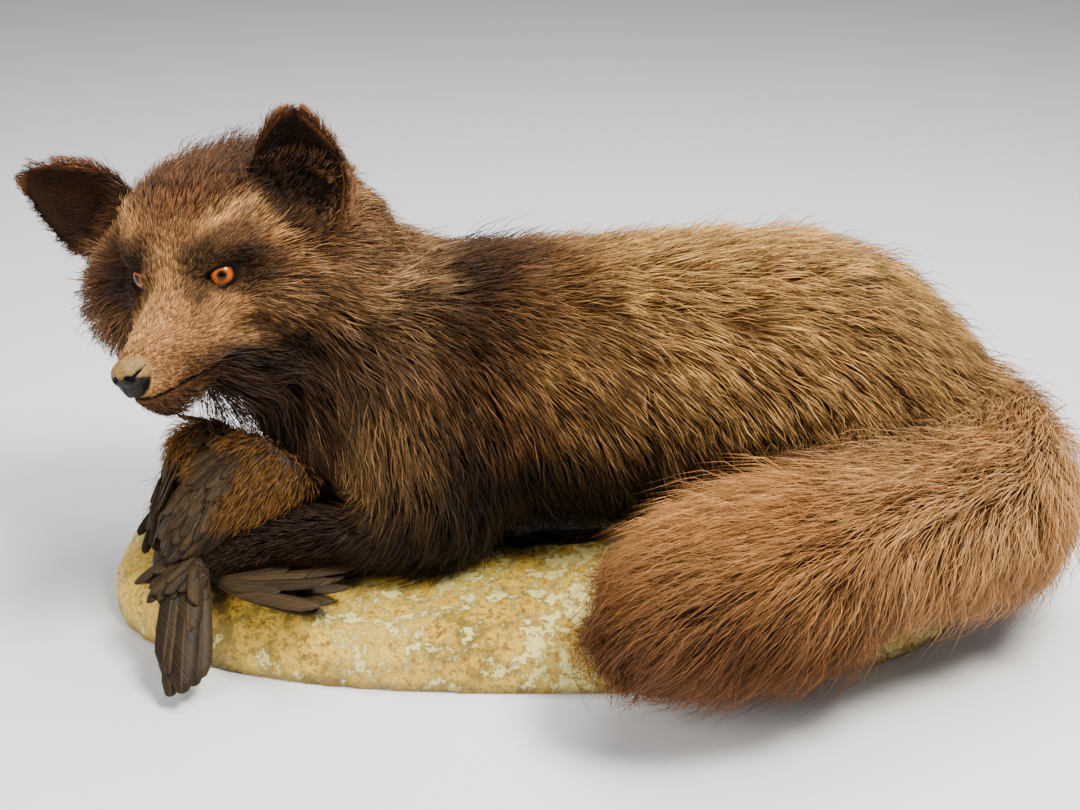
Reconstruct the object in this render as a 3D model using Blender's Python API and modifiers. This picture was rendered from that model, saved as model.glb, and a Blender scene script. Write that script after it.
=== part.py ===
"""Taxidermy red fox lying on an oval plaster base with a small game bird under its forepaws.

Metres, +Z up.  The origin is on the base's flat underside, at the middle of the oval.
The fox lies along X with its chest at -X and its rump at +X, its left side faces -Y,
and its head is turned to look out over that side.  Every solid reaches out to the tips
of the coat or the feathers.
"""
import math

import bmesh
import bpy
from mathutils import Matrix, Vector

# ---------------------------------------------------------------- driving dimensions
GAP = 0.0004                 # clearance kept between two neighbouring solids

BASE_LENGTH = 0.500          # oval plaster base, along X
BASE_DEPTH = 0.250           # along Y
BASE_THICK = 0.034           # height of its level top
BASE_SQUARENESS = 2.5        # exponent of the super-ellipse
BASE_SHOULDER = 0.024        # radius of the rounded top edge

SKIN_FACES = 2200            # triangles of trunk, neck and head before parting
FINE = 0.34                  # share of detail kept on the face
COARSE = 0.07                # and on the trunk
SETTLE = 26                  # smoothing passes where the coat is long
EAR_FACES = 280
LEG_FACES = 440
PAW_FACES = 300
TAIL_FACES = 400
BIRD_FACES = 640
FEATHER_FACES = 120
NOSE_FACES = 200
ROUND = 8                    # rings of an eye and its socket
HEAD_SCALE = 1.02
EYE_RADIUS = 0.0088
LID_SETBACK = -0.0064        # the lids stand this far behind the front of the eye
EYE_PLACES = {"left": (-0.0080, 0.0238, -0.0035), "right": (-0.0080, -0.0265, -0.0030)}
EAR_THICK = 0.0060

HEAD_YAW = math.radians(20)      # turned from -Y towards -X
HEAD_PITCH = math.radians(6.8)   # nose down
HEAD_ROLL = math.radians(13)     # left side up
HEAD_PLACE = Vector((-0.1915, -0.0400, 0.2060))   # midway between the eyes

TAIL_WIDE = 0.060            # half the brush across, where it is fullest
TAIL_DEEP = 0.051            # half the brush from top to bottom

COAT = (0.115, 0.052, 0.022, 1)
COAT_DARK = (0.045, 0.024, 0.013, 1)
TAIL_COAT = (0.230, 0.085, 0.032, 1)
MATERIALS = {
    "coat": (COAT, 0.85, 0.0),
    "coat_dark": (COAT_DARK, 0.85, 0.0),
    "tail_coat": (TAIL_COAT, 0.85, 0.0),
    "eye_glass": ((0.55, 0.16, 0.02, 1), 0.05, 0.0),
    "nose_leather": ((0.030, 0.028, 0.024, 1), 0.45, 0.0),
    "plaster": ((0.56, 0.45, 0.22, 1), 0.75, 0.0),
    "plumage": ((0.060, 0.045, 0.032, 1), 0.8, 0.0),
}

# ---------------------------------------------------------------- scene and helpers
for old in list(bpy.data.objects):
    bpy.data.objects.remove(old, do_unlink=True)

SOLIDS = bpy.data.collections.new("taxidermy_red_fox")
CUTTERS = bpy.data.collections.new("cutters")
bpy.context.scene.collection.children.link(SOLIDS)
bpy.context.scene.collection.children.link(CUTTERS)


def material(name):
    """The named Principled material, made once."""
    found = bpy.data.materials.get(name)
    if found:
        return found
    colour, rough, metallic = MATERIALS[name]
    made = bpy.data.materials.new(name)
    made.use_nodes = True
    shader = made.node_tree.nodes["Principled BSDF"]
    shader.inputs["Base Color"].default_value = colour
    shader.inputs["Roughness"].default_value = rough
    shader.inputs["Metallic"].default_value = metallic
    made.diffuse_color = colour
    return made


def put(name, mesh, finish):
    """Link a finished solid under its node name with its material."""
    thing = bpy.data.objects.new(name, mesh)
    mesh.name = name
    mesh.materials.clear()
    mesh.materials.append(material(finish))
    mesh.shade_smooth()
    mesh.set_sharp_from_angle(angle=math.radians(50))
    SOLIDS.objects.link(thing)
    return thing


def helper(name, mesh):
    """Link a cutter or a working shape, kept out of the render."""
    thing = bpy.data.objects.new(name, mesh)
    thing.hide_render = True
    thing.display_type = "WIRE"
    CUTTERS.objects.link(thing)
    return thing


def mesh_of(bm):
    """Turn a bmesh into a mesh with outward faces."""
    bmesh.ops.recalc_face_normals(bm, faces=bm.faces)
    mesh = bpy.data.meshes.new("form")
    bm.to_mesh(mesh)
    bm.free()
    return mesh


def baked(thing):
    """The mesh of an object with its modifiers applied; the object is removed."""
    graph = bpy.context.evaluated_depsgraph_get()
    mesh = bpy.data.meshes.new_from_object(thing.evaluated_get(graph))
    bpy.data.objects.remove(thing, do_unlink=True)
    return mesh


def ball(centre, radii, turn=Matrix.Identity(4), rings=14):
    """An ellipsoid, placed in the frame `turn`."""
    bm = bmesh.new()
    place = turn @ Matrix.Translation(centre) @ Matrix.Diagonal((*radii, 1))
    bmesh.ops.create_uvsphere(bm, u_segments=rings * 2, v_segments=rings, radius=1, matrix=place)
    return mesh_of(bm)


def eased(stations, t):
    """Catmull-Rom interpolation of a table of number rows at t in 0..1."""
    last = len(stations) - 1
    at = min(t * last, last - 1e-6)
    i = int(at)
    u = at - i
    rows = [stations[max(0, min(last, i + k))] for k in (-1, 0, 1, 2)]
    out = []
    for a, b, c, d in zip(*rows):
        out.append(0.5 * (2 * b + (c - a) * u + (2 * a - 5 * b + 4 * c - d) * u * u
                          + (3 * b - a - 3 * c + d) * u ** 3))
    return out


def loft(stations, turn=Matrix.Identity(4), along=24, around=24, level=False):
    """A closed limb through stations (x, y, z, half width, half height).

    Each section is an ellipse square to the path; with `level` the sections stand
    upright across X instead, as they do along a trunk.
    """
    bm = bmesh.new()
    rings = []
    for i in range(along + 1):
        t = i / along
        here = eased(stations, t)
        before = Vector(eased(stations, max(0, t - 0.01))[:3])
        after = Vector(eased(stations, min(1, t + 0.01))[:3])
        forward = Vector((1, 0, 0)) if level else (after - before).normalized()
        side = forward.cross(Vector((0, 0, 1))).normalized()
        up = side.cross(forward)
        centre = Vector(here[:3])
        ring = []
        for k in range(around):
            a = math.tau * k / around
            point = centre + side * here[3] * math.cos(a) + up * here[4] * math.sin(a)
            ring.append(bm.verts.new(turn @ point))
        rings.append(ring)
    for low, high in zip(rings, rings[1:]):
        for k in range(around):
            n = (k + 1) % around
            bm.faces.new((low[k], low[n], high[n], high[k]))
    for ring in (rings[0], rings[-1]):
        bm.faces.new(ring)
    return mesh_of(bm)


def fuse(forms, voxel, smooth, faces, keep=None):
    """Melt overlapping forms into one closed skin of about `faces` triangles.

    `keep` gives the share of detail, 0..1, that a point of the skin keeps when the
    skin is smoothed and thinned.
    """
    bm = bmesh.new()
    for form in forms:
        bm.from_mesh(form)
    lump = helper("lump", mesh_of(bm))
    melt = lump.modifiers.new("melt", "REMESH")
    melt.mode = "VOXEL"
    melt.voxel_size = voxel
    ease = lump.modifiers.new("ease", "SMOOTH")
    ease.factor = 0.5
    ease.iterations = smooth
    skin = helper("skin", baked(lump))
    share = min(1, faces / (2 * len(skin.data.polygons)))
    if keep:
        group = skin.vertex_groups.new(name="keep")
        for vertex in skin.data.vertices:
            group.add([vertex.index], keep(vertex.co), "REPLACE")
        settle = skin.modifiers.new("settle", "SMOOTH")
        settle.factor = 0.5
        settle.iterations = SETTLE
        settle.vertex_group = group.name
        settle.invert_vertex_group = True
    thin = skin.modifiers.new("thin", "DECIMATE")
    thin.ratio = share
    if keep:
        thin.vertex_group = group.name
        thin.vertex_group_factor = 1.0
        thin.invert_vertex_group = True
    return baked(skin)


def combined(mesh, cutters, operation):
    """The mesh after an exact Boolean with each cutter in turn."""
    thing = helper("worked", mesh)
    for index, cutter in enumerate(cutters):
        tool = helper("tool_%d" % index, cutter)
        step = thing.modifiers.new("cut_%d" % index, "BOOLEAN")
        step.operation = operation
        step.solver = "EXACT"
        step.object = tool
    out = baked(thing)
    for tool in list(CUTTERS.objects):
        if tool.name.startswith("tool_"):
            bpy.data.objects.remove(tool, do_unlink=True)
    return out


def grown(mesh, by=GAP):
    """A copy of a closed mesh pushed outwards all over."""
    thing = helper("grown", mesh.copy())
    push = thing.modifiers.new("push", "DISPLACE")
    push.strength = by
    push.mid_level = 0
    return baked(thing)


def islands(mesh, smallest=40):
    """The separate closed pieces of a mesh, each as its own mesh, largest first."""
    bm = bmesh.new()
    bm.from_mesh(mesh)
    left = set(bm.verts)
    pieces = []
    while left:
        stack = [left.pop()]
        seen = set(stack)
        while stack:
            for edge in stack.pop().link_edges:
                for other in edge.verts:
                    if other not in seen:
                        seen.add(other)
                        stack.append(other)
        left -= seen
        if len(seen) >= smallest:
            pieces.append(seen)
    pieces.sort(key=lambda seen: (-len(seen), min(v.index for v in seen)))
    out = []
    for seen in pieces:
        piece = bmesh.new()
        copies = {}
        for vertex in sorted(seen, key=lambda v: v.index):
            copies[vertex] = piece.verts.new(vertex.co)
        for face in bm.faces:
            if face.verts[0] in seen:
                piece.faces.new([copies[v] for v in face.verts])
        out.append(mesh_of(piece))
    bm.free()
    return out


def middle(mesh):
    """The mean of a mesh's points."""
    total = Vector()
    for vertex in mesh.vertices:
        total += vertex.co
    return total / len(mesh.vertices)


def slit(place, normal, reach):
    """A thin disc that parts a limb square to `normal`."""
    bm = bmesh.new()
    turn = normal.to_track_quat("Z", "Y").to_matrix().to_4x4()
    bmesh.ops.create_cone(bm, segments=32, radius1=reach, radius2=reach, depth=GAP, cap_ends=True,
                          matrix=Matrix.Translation(place) @ turn)
    return mesh_of(bm)


# ---------------------------------------------------------------- plaster base
def base_mesh():
    """A super-ellipse slab: flat underside, low rim and a broad rounded shoulder."""
    bm = bmesh.new()
    around = 48
    rim = 0.008
    rows = [(0.0, 0.0), (0.0, rim)]
    steps = 4
    for i in range(1, steps + 1):
        a = math.pi / 2 * i / steps
        inset = BASE_SHOULDER * (1 - math.cos(a))
        rows.append((inset, rim + (BASE_THICK - rim) * math.sin(a)))
    rings = []
    for inset, height in rows:
        ring = []
        for k in range(around):
            a = math.tau * k / around
            power = 2 / BASE_SQUARENESS
            x = math.copysign(abs(math.cos(a)) ** power, math.cos(a)) * (BASE_LENGTH / 2 - inset)
            y = math.copysign(abs(math.sin(a)) ** power, math.sin(a)) * (BASE_DEPTH / 2 - inset)
            ring.append(bm.verts.new((x, y, height)))
        rings.append(ring)
    for low, high in zip(rings, rings[1:]):
        for k in range(around):
            n = (k + 1) % around
            bm.faces.new((low[k], low[n], high[n], high[k]))
    bm.faces.new(rings[0])
    bm.faces.new(rings[-1])
    return mesh_of(bm)


# ---------------------------------------------------------------- fox: trunk, neck and head
def head_frame():
    """Matrix of the head: +X out of the face, +Y to the fox's left, +Z to the crown."""
    level = math.cos(HEAD_PITCH)
    ahead = Vector((-math.sin(HEAD_YAW) * level, -math.cos(HEAD_YAW) * level, -math.sin(HEAD_PITCH)))
    flat_left = Vector((math.cos(HEAD_YAW), -math.sin(HEAD_YAW), 0))
    flat_up = ahead.cross(flat_left)
    left = flat_left * math.cos(HEAD_ROLL) + flat_up * math.sin(HEAD_ROLL)
    up = ahead.cross(left)
    turn = Matrix((ahead, left, up)).transposed().to_4x4()
    return Matrix.Translation(HEAD_PLACE) @ turn @ Matrix.Scale(HEAD_SCALE, 4)


HEAD = head_frame()

TRUNK = [
    # x, y, z, half width, half height
    (-0.125, 0.012, 0.128, 0.040, 0.050),
    (-0.100, 0.014, 0.122, 0.066, 0.070),
    (-0.055, 0.016, 0.123, 0.083, 0.079),
    (0.000, 0.018, 0.125, 0.089, 0.081),
    (0.060, 0.020, 0.125, 0.093, 0.083),
    (0.125, 0.022, 0.124, 0.098, 0.087),
    (0.180, 0.024, 0.118, 0.099, 0.085),
    (0.225, 0.024, 0.105, 0.088, 0.072),
    (0.262, 0.022, 0.087, 0.060, 0.050),
    (0.278, 0.022, 0.080, 0.030, 0.026),
]

NECK = [
    (-0.020, 0.020, 0.130, 0.070, 0.060),
    (-0.072, 0.026, 0.142, 0.072, 0.058),
    (-0.112, 0.034, 0.160, 0.068, 0.057),
    (-0.146, 0.034, 0.180, 0.064, 0.054),
    (-0.170, 0.018, 0.193, 0.060, 0.052),
]

MUZZLE = [
    # forward, left, up, half width, half height
    (-0.030, 0, -0.0160, 0.0370, 0.0300),
    (-0.004, 0, -0.0200, 0.0270, 0.0220),
    (0.016, 0, -0.0235, 0.0215, 0.0195),
    (0.038, 0, -0.0280, 0.0180, 0.0165),
    (0.056, 0, -0.0305, 0.0150, 0.0138),
    (0.0665, 0, -0.0310, 0.0098, 0.0095),
]


def head_forms():
    """Ellipsoids and a tapered muzzle in the head's own frame."""
    forms = [
        ball((-0.060, -0.011, 0.004), (0.056, 0.053, 0.041), HEAD),     # crown
        ball((-0.033, 0.000, 0.006), (0.037, 0.040, 0.021), HEAD),      # forehead
        ball((-0.014, 0.000, -0.001), (0.024, 0.017, 0.013), HEAD),     # stop, between the eyes
        ball((-0.074, -0.004, -0.018), (0.046, 0.098, 0.056), HEAD),    # ruff, ear to ear
        ball((-0.090, 0.000, -0.016), (0.046, 0.060, 0.050), HEAD),     # nape
        ball((-0.004, 0.000, -0.038), (0.052, 0.023, 0.015), HEAD),     # jaw
        ball((0.044, 0.000, -0.0445), (0.016, 0.0100, 0.0070), HEAD),   # chin
        ball((0.016, 0.000, -0.0460), (0.034, 0.0140, 0.0085), HEAD),   # lower jaw
        ball((-0.042, 0.000, -0.052), (0.052, 0.050, 0.030), HEAD),     # throat ruff
        ball((-0.056, -0.070, -0.034), (0.040, 0.042, 0.044), HEAD),    # far cheek, brushed out
        loft(MUZZLE, HEAD, along=16, around=20),
    ]
    for side in (1, -1):
        splay = Matrix.Rotation(side * math.radians(24), 4, "Z")
        place = HEAD @ Matrix.Translation((-0.046, side * 0.036, -0.024)) @ splay
        forms.append(ball((0, 0, 0), (0.042, 0.028, 0.033), place))     # cheek
        forms.append(ball((-0.066, side * 0.056, -0.025), (0.036, 0.034, 0.036), HEAD))    # cheek ruff
        forms.append(ball((-0.020, side * 0.027, 0.0095), (0.018, 0.016, 0.0070), HEAD))   # brow
        forms.append(ball((-0.014, side * 0.028, -0.0200), (0.026, 0.015, 0.0100), HEAD))  # cheekbone
        forms.append(ball((0.004, side * 0.017, -0.0285), (0.036, 0.0120, 0.0115), HEAD))  # upper lip
        forms.append(ball((0.044, side * 0.009, -0.0310), (0.016, 0.0085, 0.0095), HEAD))  # lip pad
    for ahead, aside, height in EYE_PLACES.values():
        forms.append(ball((ahead + LID_SETBACK, aside, height), (0.0098, 0.0150, 0.0122), HEAD))
    return forms


def body_skin():
    """Trunk, neck and head as one skin, finest on the face."""
    forms = [
        loft(TRUNK, level=True, along=36, around=32),
        loft(NECK, along=20, around=28),
        ball((-0.060, -0.028, 0.098), (0.056, 0.052, 0.056)),      # near shoulder
        ball((-0.060, 0.060, 0.098), (0.056, 0.050, 0.056)),       # far shoulder
        ball((-0.054, -0.048, 0.070), (0.044, 0.029, 0.034)),      # coat over the near elbow
        ball((-0.118, -0.004, 0.112), (0.042, 0.046, 0.046)),      # breast
        ball((-0.145, 0.010, 0.126), (0.042, 0.040, 0.040)),       # ruff under the throat
        ball((-0.050, 0.030, 0.178), (0.040, 0.034, 0.024)),       # withers tuft
        ball((0.175, -0.026, 0.096), (0.078, 0.056, 0.062)),       # near haunch
        ball((0.175, 0.070, 0.096), (0.078, 0.056, 0.062)),        # far haunch
    ]
    forms += head_forms()
    inward = HEAD.inverted()

    def keep(point):
        near = inward @ point
        face = max(0.0, min(1.0, (near.x + 0.055) / 0.045))
        beyond = max(0.0, min(1.0, (0.11 - near.length) / 0.02))
        return max(COARSE, FINE * face * beyond)

    return fuse(forms, 0.0032, 9, SKIN_FACES, keep)


# ---------------------------------------------------------------- fox: ears, eyes, nose
EARS = {
    # root, tip and the direction that the hollow faces, in the head's frame; half the width
    "left": (Vector((-0.034, 0.048, 0.000)), Vector((-0.056, 0.061, 0.0610)), Vector((0.98, 0.16, 0.1)), 0.0280),
    "right": (Vector((-0.060, -0.072, 0.004)), Vector((-0.072, -0.142, 0.044)), Vector((0.85, 0.05, 0.4)), 0.0240),
}


def ear_mesh(root, tip, hollow, half_width):
    """A rounded triangular flap rolled round its own axis, like half a cone."""
    rise = tip - root
    tall = rise.length
    up = rise.normalized()
    across = up.cross(hollow).normalized()
    out = across.cross(up)
    bm = bmesh.new()
    rows = 12
    columns = 10
    grid = []
    for r in range(rows + 1):
        v = r / rows
        half = half_width * max(0.2, (1 - v ** 3) ** 0.55 * (0.94 + 0.18 * math.sin(math.pi * v)))
        row = []
        for c in range(columns + 1):
            s = 2 * c / columns - 1
            curl = s * math.radians(78 - 30 * v)
            bend = half / math.sin(math.radians(78 - 30 * v))
            round_top = tall * (v - 0.05 * s * s * v)
            point = root + up * round_top + across * (bend * math.sin(curl)) - out * (bend * math.cos(curl) * 0.62)
            row.append(bm.verts.new(HEAD @ point))
        grid.append(row)
    for low, high in zip(grid, grid[1:]):
        for c in range(columns):
            bm.faces.new((low[c], low[c + 1], high[c + 1], high[c]))
    sheet = helper("ear_sheet", mesh_of(bm))
    wall = sheet.modifiers.new("wall", "SOLIDIFY")
    wall.thickness = EAR_THICK
    wall.offset = 0
    wall.use_even_offset = False
    return fuse([baked(sheet)], 0.0014, 3, EAR_FACES)


def nose_mesh():
    """Nose pad: a wide blunt wedge with a flatter underside."""
    forms = [
        ball((0.0600, 0, -0.0250), (0.0100, 0.0112, 0.0078), HEAD, 10),
        ball((0.0600, 0, -0.0315), (0.0088, 0.0068, 0.0068), HEAD, 10),
    ]
    return fuse(forms, 0.0012, 2, NOSE_FACES)


# ---------------------------------------------------------------- fox: legs
FORELEG_LEFT = [
    (-0.036, -0.048, 0.069, 0.022, 0.024),
    (-0.058, -0.054, 0.065, 0.023, 0.024),
    (-0.085, -0.057, 0.0615, 0.0200, 0.0200),
    (-0.125, -0.058, 0.0590, 0.0170, 0.0170),
    (-0.150, -0.059, 0.0565, 0.0155, 0.0148),
]
FOREPAW_LEFT = [
    (-0.146, -0.059, 0.0570, 0.0157, 0.0150),
    (-0.160, -0.061, 0.0545, 0.0165, 0.0148),
    (-0.174, -0.063, 0.0525, 0.0170, 0.0125),
    (-0.184, -0.065, 0.0500, 0.0145, 0.0090),
]
FORELEG_RIGHT = [
    (-0.040, 0.060, 0.066, 0.022, 0.024),
    (-0.068, 0.056, 0.060, 0.021, 0.022),
    (-0.100, 0.040, 0.0550, 0.0180, 0.0175),
    (-0.135, 0.022, 0.0510, 0.0155, 0.0145),
    (-0.155, 0.012, 0.0490, 0.0145, 0.0130),
]
FOREPAW_RIGHT = [
    (-0.151, 0.014, 0.0495, 0.0145, 0.0135),
    (-0.166, 0.006, 0.0480, 0.0160, 0.0130),
    (-0.182, -0.003, 0.0465, 0.0170, 0.0115),
    (-0.193, -0.009, 0.0445, 0.0145, 0.0090),
]
HINDPAW_LEFT = [
    (0.174, -0.038, 0.058, 0.018, 0.019),
    (0.139, -0.042, 0.052, 0.0145, 0.0145),
    (0.104, -0.042, 0.0475, 0.0140, 0.0120),
    (0.076, -0.040, 0.0455, 0.0155, 0.0110),
    (0.060, -0.038, 0.0435, 0.0140, 0.0085),
]
HINDPAW_RIGHT = [
    (0.174, 0.086, 0.058, 0.018, 0.019),
    (0.139, 0.092, 0.052, 0.0145, 0.0145),
    (0.104, 0.092, 0.0475, 0.0140, 0.0120),
    (0.076, 0.090, 0.0455, 0.0155, 0.0110),
    (0.060, 0.088, 0.0435, 0.0140, 0.0085),
]
TOE_LENGTH = 0.013


def toes(paw):
    """Four toes in a row across the end of a paw, each with a short claw."""
    end = Vector(paw[-1][:3])
    ahead = (end - Vector(paw[-2][:3])).normalized()
    side = ahead.cross(Vector((0, 0, 1))).normalized()
    up = side.cross(ahead)
    turn = Matrix((ahead, side, up)).transposed().to_4x4()
    frame = Matrix.Translation(end) @ turn
    forms = []
    for across, forward in ((-0.0125, -0.006), (-0.0045, 0.0), (0.0045, 0.0), (0.0125, -0.006)):
        forms.append(ball((forward, across, -0.001), (TOE_LENGTH, 0.0052, 0.0078), frame, 8))
        tip = forward + TOE_LENGTH - 0.001
        forms.append(ball((tip, across, -0.0035), (0.0052, 0.0017, 0.0021), frame, 6))
    return forms


# ---------------------------------------------------------------- fox: tail
TAIL = [
    (0.232, 0.034, 0.094, 0.036, 0.038),
    (0.250, 0.006, 0.092, 0.047, 0.047),
    (0.252, -0.036, 0.083, 0.056, 0.056),
    (0.228, -0.072, 0.080, 0.058, 0.055),
    (0.180, -0.098, 0.084, TAIL_WIDE - 0.003, TAIL_DEEP - 0.001),
    (0.128, -0.126, 0.076, TAIL_WIDE, TAIL_DEEP + 0.001),
    (0.082, -0.146, 0.070, TAIL_WIDE - 0.003, TAIL_DEEP - 0.004),
    (0.046, -0.155, 0.064, 0.046, 0.037),
    (0.018, -0.157, 0.059, 0.022, 0.020),
]
TAIL_CUTS = (0.30, 0.62)     # where the brush is parted, as shares of its length


# ---------------------------------------------------------------- prey bird
def fan(route, spread, wide, thick, feathers=5, short=0.12):
    """Overlapping feather blades that fan out from the first point of a route.

    The middle blade follows the route; the outer ones turn by up to `spread` and are
    `short` of its length.
    """
    root = Vector(route[0])
    forms = []
    for i in range(feathers):
        s = 2 * i / (feathers - 1) - 1
        turn = Matrix.Rotation(s * spread, 3, "Z")
        reach = 1 - short * s * s
        blade = []
        for k, place in enumerate(route):
            u = k / (len(route) - 1)
            offset = Vector(place) - root
            centre = root + turn @ Vector((offset.x, offset.y, 0)) * reach
            centre.z = place[2] + thick * 0.12 * (i % 2)
            full = 0.45 + 0.55 * math.sin(math.pi * min(0.92, 0.15 + 0.75 * u))
            blade.append((*centre, wide / 2 * full * (0.55 if u == 1 else 1), thick / 2))
        forms.append(loft(blade, along=10, around=12))
    return forms


BIRD_BODY = [
    (-0.126, -0.012, 0.090, 0.016, 0.014),
    (-0.142, -0.022, 0.088, 0.028, 0.022),
    (-0.166, -0.038, 0.083, 0.031, 0.025),
    (-0.184, -0.056, 0.073, 0.025, 0.020),
    (-0.194, -0.070, 0.062, 0.014, 0.012),
]
BIRD_TAIL = [(-0.192, -0.066, 0.061), (-0.189, -0.084, 0.053), (-0.186, -0.100, 0.044),
             (-0.182, -0.116, 0.030), (-0.179, -0.131, 0.011)]
BIRD_FAR_WING = [(-0.196, -0.012, 0.096), (-0.208, -0.020, 0.086), (-0.215, -0.032, 0.066),
                 (-0.219, -0.044, 0.044)]
BIRD_NEAR_WING = [(-0.172, -0.082, 0.041), (-0.150, -0.079, 0.0400), (-0.124, -0.073, 0.0395),
                  (-0.095, -0.063, 0.0390)]
LOOSE_FEATHERS = [(-0.046, -0.012, 0.0392), (-0.015, -0.013, 0.0385), (0.014, -0.016, 0.0380),
                  (0.036, -0.022, 0.0375)]


def bird_forms():
    """Body, hanging far wing, near wing on the ground and tail over the base's edge."""
    forms = [loft(BIRD_BODY, along=14, around=18)]
    forms.append(ball((-0.190, -0.014, 0.090), (0.024, 0.020, 0.019)))
    forms += fan(BIRD_TAIL, math.radians(16), 0.017, 0.0040)
    forms += fan(BIRD_FAR_WING, math.radians(26), 0.013, 0.0045, 4)
    forms += fan(BIRD_NEAR_WING, math.radians(30), 0.017, 0.0042)
    return forms


# ---------------------------------------------------------------- assembly
def largest(mesh):
    """The biggest closed piece of a mesh."""
    return islands(mesh)[0]


def parted(mesh, cuts, names):
    """Part a mesh with thin cuts; each piece takes the name whose place is nearest."""
    pieces = islands(combined(mesh, cuts, "DIFFERENCE"))[:len(names)]
    found = {}
    for name, place in names.items():
        piece = min(pieces, key=lambda p: (middle(p) - Vector(place)).length)
        pieces.remove(piece)
        found[name] = piece
    return found


base_shape = base_mesh()
base_clear = grown(base_shape)

# Trunk, neck and head are one skin, parted behind the head and before the shoulders.
skin = combined(body_skin(), [base_clear.copy()], "DIFFERENCE")
skin_clear = grown(skin)
head_cut = slit(Vector((-0.125, 0.020, 0.175)), Vector((-0.65, -0.41, 0.64)), 0.112)
chest_cut = slit(Vector((-0.070, 0.020, 0.150)), Vector((-0.82, 0.0, 0.57)), 0.118)
flesh = parted(skin, [head_cut, chest_cut], {
    "head": HEAD @ Vector((-0.03, 0, 0)),
    "neck": (-0.110, 0.030, 0.150),
    "trunk": (0.080, 0.020, 0.110),
})

# The haunches are parted from the trunk along the curve of the thigh.
haunches = {}
for name, y in (("hindleg_left", -0.052), ("hindleg_right", 0.096)):
    thigh = ball((0.170, y, 0.088), (0.084, 0.056, 0.058), rings=7)
    haunches[name] = largest(combined(flesh["trunk"].copy(), [thigh], "INTERSECT"))
    flesh["trunk"] = largest(combined(flesh["trunk"], [grown(thigh)], "DIFFERENCE"))

# Sockets for the glass eyes and a seat for the nose leather.
nose = nose_mesh()
sockets = []
eyes = {}
for side, place in EYE_PLACES.items():
    radius = EYE_RADIUS / HEAD_SCALE
    eyes["eye_" + side] = ball(place, [radius] * 3, HEAD, ROUND)
    sockets.append(ball(place, [radius + GAP] * 3, HEAD, ROUND))
flesh["head"] = largest(combined(flesh["head"], [*sockets, grown(nose)], "DIFFERENCE"))

ears = {}
for side, shape in EARS.items():
    ears["ear_" + side] = largest(combined(ear_mesh(*shape), [skin_clear.copy()], "DIFFERENCE"))

# Legs: limb and foot in one skin, cleared of the body and the base, then parted.
limbs = {}
LEGS = (
    ("foreleg_left", "forepaw_left", FORELEG_LEFT, FOREPAW_LEFT),
    ("foreleg_right", "forepaw_right", FORELEG_RIGHT, FOREPAW_RIGHT),
)
for leg, paw, upper, lower in LEGS:
    forms = [loft(upper, along=18, around=18), loft(lower, along=10, around=18), *toes(lower)]
    whole = combined(fuse(forms, 0.0014, 3, LEG_FACES), [skin_clear.copy(), base_clear.copy()], "DIFFERENCE")
    wrist = Vector(upper[-1][:3])
    ahead = (wrist - Vector(upper[-2][:3])).normalized()
    limbs.update(parted(largest(whole), [slit(wrist, ahead, 0.026)], {leg: upper[2][:3], paw: lower[-1][:3]}))
for paw, lower in (("hindpaw_left", HINDPAW_LEFT), ("hindpaw_right", HINDPAW_RIGHT)):
    forms = [loft(lower, along=14, around=18), *toes(lower)]
    whole = combined(fuse(forms, 0.0014, 3, PAW_FACES), [skin_clear.copy(), base_clear.copy()], "DIFFERENCE")
    limbs[paw] = largest(whole)

# The brush, cleared of the haunch, the feet and the base, is parted in three lengths.
tail_clear = [skin_clear.copy(), base_clear.copy(), grown(limbs["hindpaw_left"])]
brush = largest(combined(fuse([loft(TAIL, along=40, around=30)], 0.0040, 3, TAIL_FACES), tail_clear, "DIFFERENCE"))
cuts = []
for share in TAIL_CUTS:
    place = Vector(eased(TAIL, share)[:3])
    ahead = Vector(eased(TAIL, share + 0.02)[:3]) - place
    cuts.append(slit(place, ahead.normalized(), 0.082))
lengths = {
    "tail_root": eased(TAIL, 0.12)[:3],
    "tail_middle": eased(TAIL, 0.46)[:3],
    "tail_tip": eased(TAIL, 0.80)[:3],
}
tail = parted(brush, cuts, lengths)

# The bird lies on the far paw, under the near one.
bird_clear = [skin_clear.copy(), base_clear.copy()]
bird_clear += [grown(limbs[name]) for name in ("foreleg_left", "forepaw_left", "foreleg_right", "forepaw_right")]
bird = largest(combined(fuse(bird_forms(), 0.0013, 2, BIRD_FACES), bird_clear, "DIFFERENCE"))
feather_forms = fan(LOOSE_FEATHERS, math.radians(9), 0.011, 0.0030, 3)
feathers = combined(fuse(feather_forms, 0.0011, 1, FEATHER_FACES), [skin_clear, base_clear], "DIFFERENCE")

put("base", base_shape, "plaster")
for name, mesh in (*flesh.items(), *haunches.items(), *ears.items(), *limbs.items()):
    put(name, mesh, "coat")
for name, mesh in tail.items():
    put(name, mesh, "tail_coat")
for name, mesh in eyes.items():
    put(name, mesh, "eye_glass")
put("nose", nose, "nose_leather")
put("prey_bird", bird, "plumage")
put("prey_feathers", largest(feathers), "plumage")
for tool in list(CUTTERS.objects):
    bpy.data.objects.remove(tool, do_unlink=True)
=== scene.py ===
import math

import bmesh
import bpy
import numpy as np
from mathutils import Matrix, Vector
from mathutils.bvhtree import BVHTree
from mathutils.kdtree import KDTree


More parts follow.
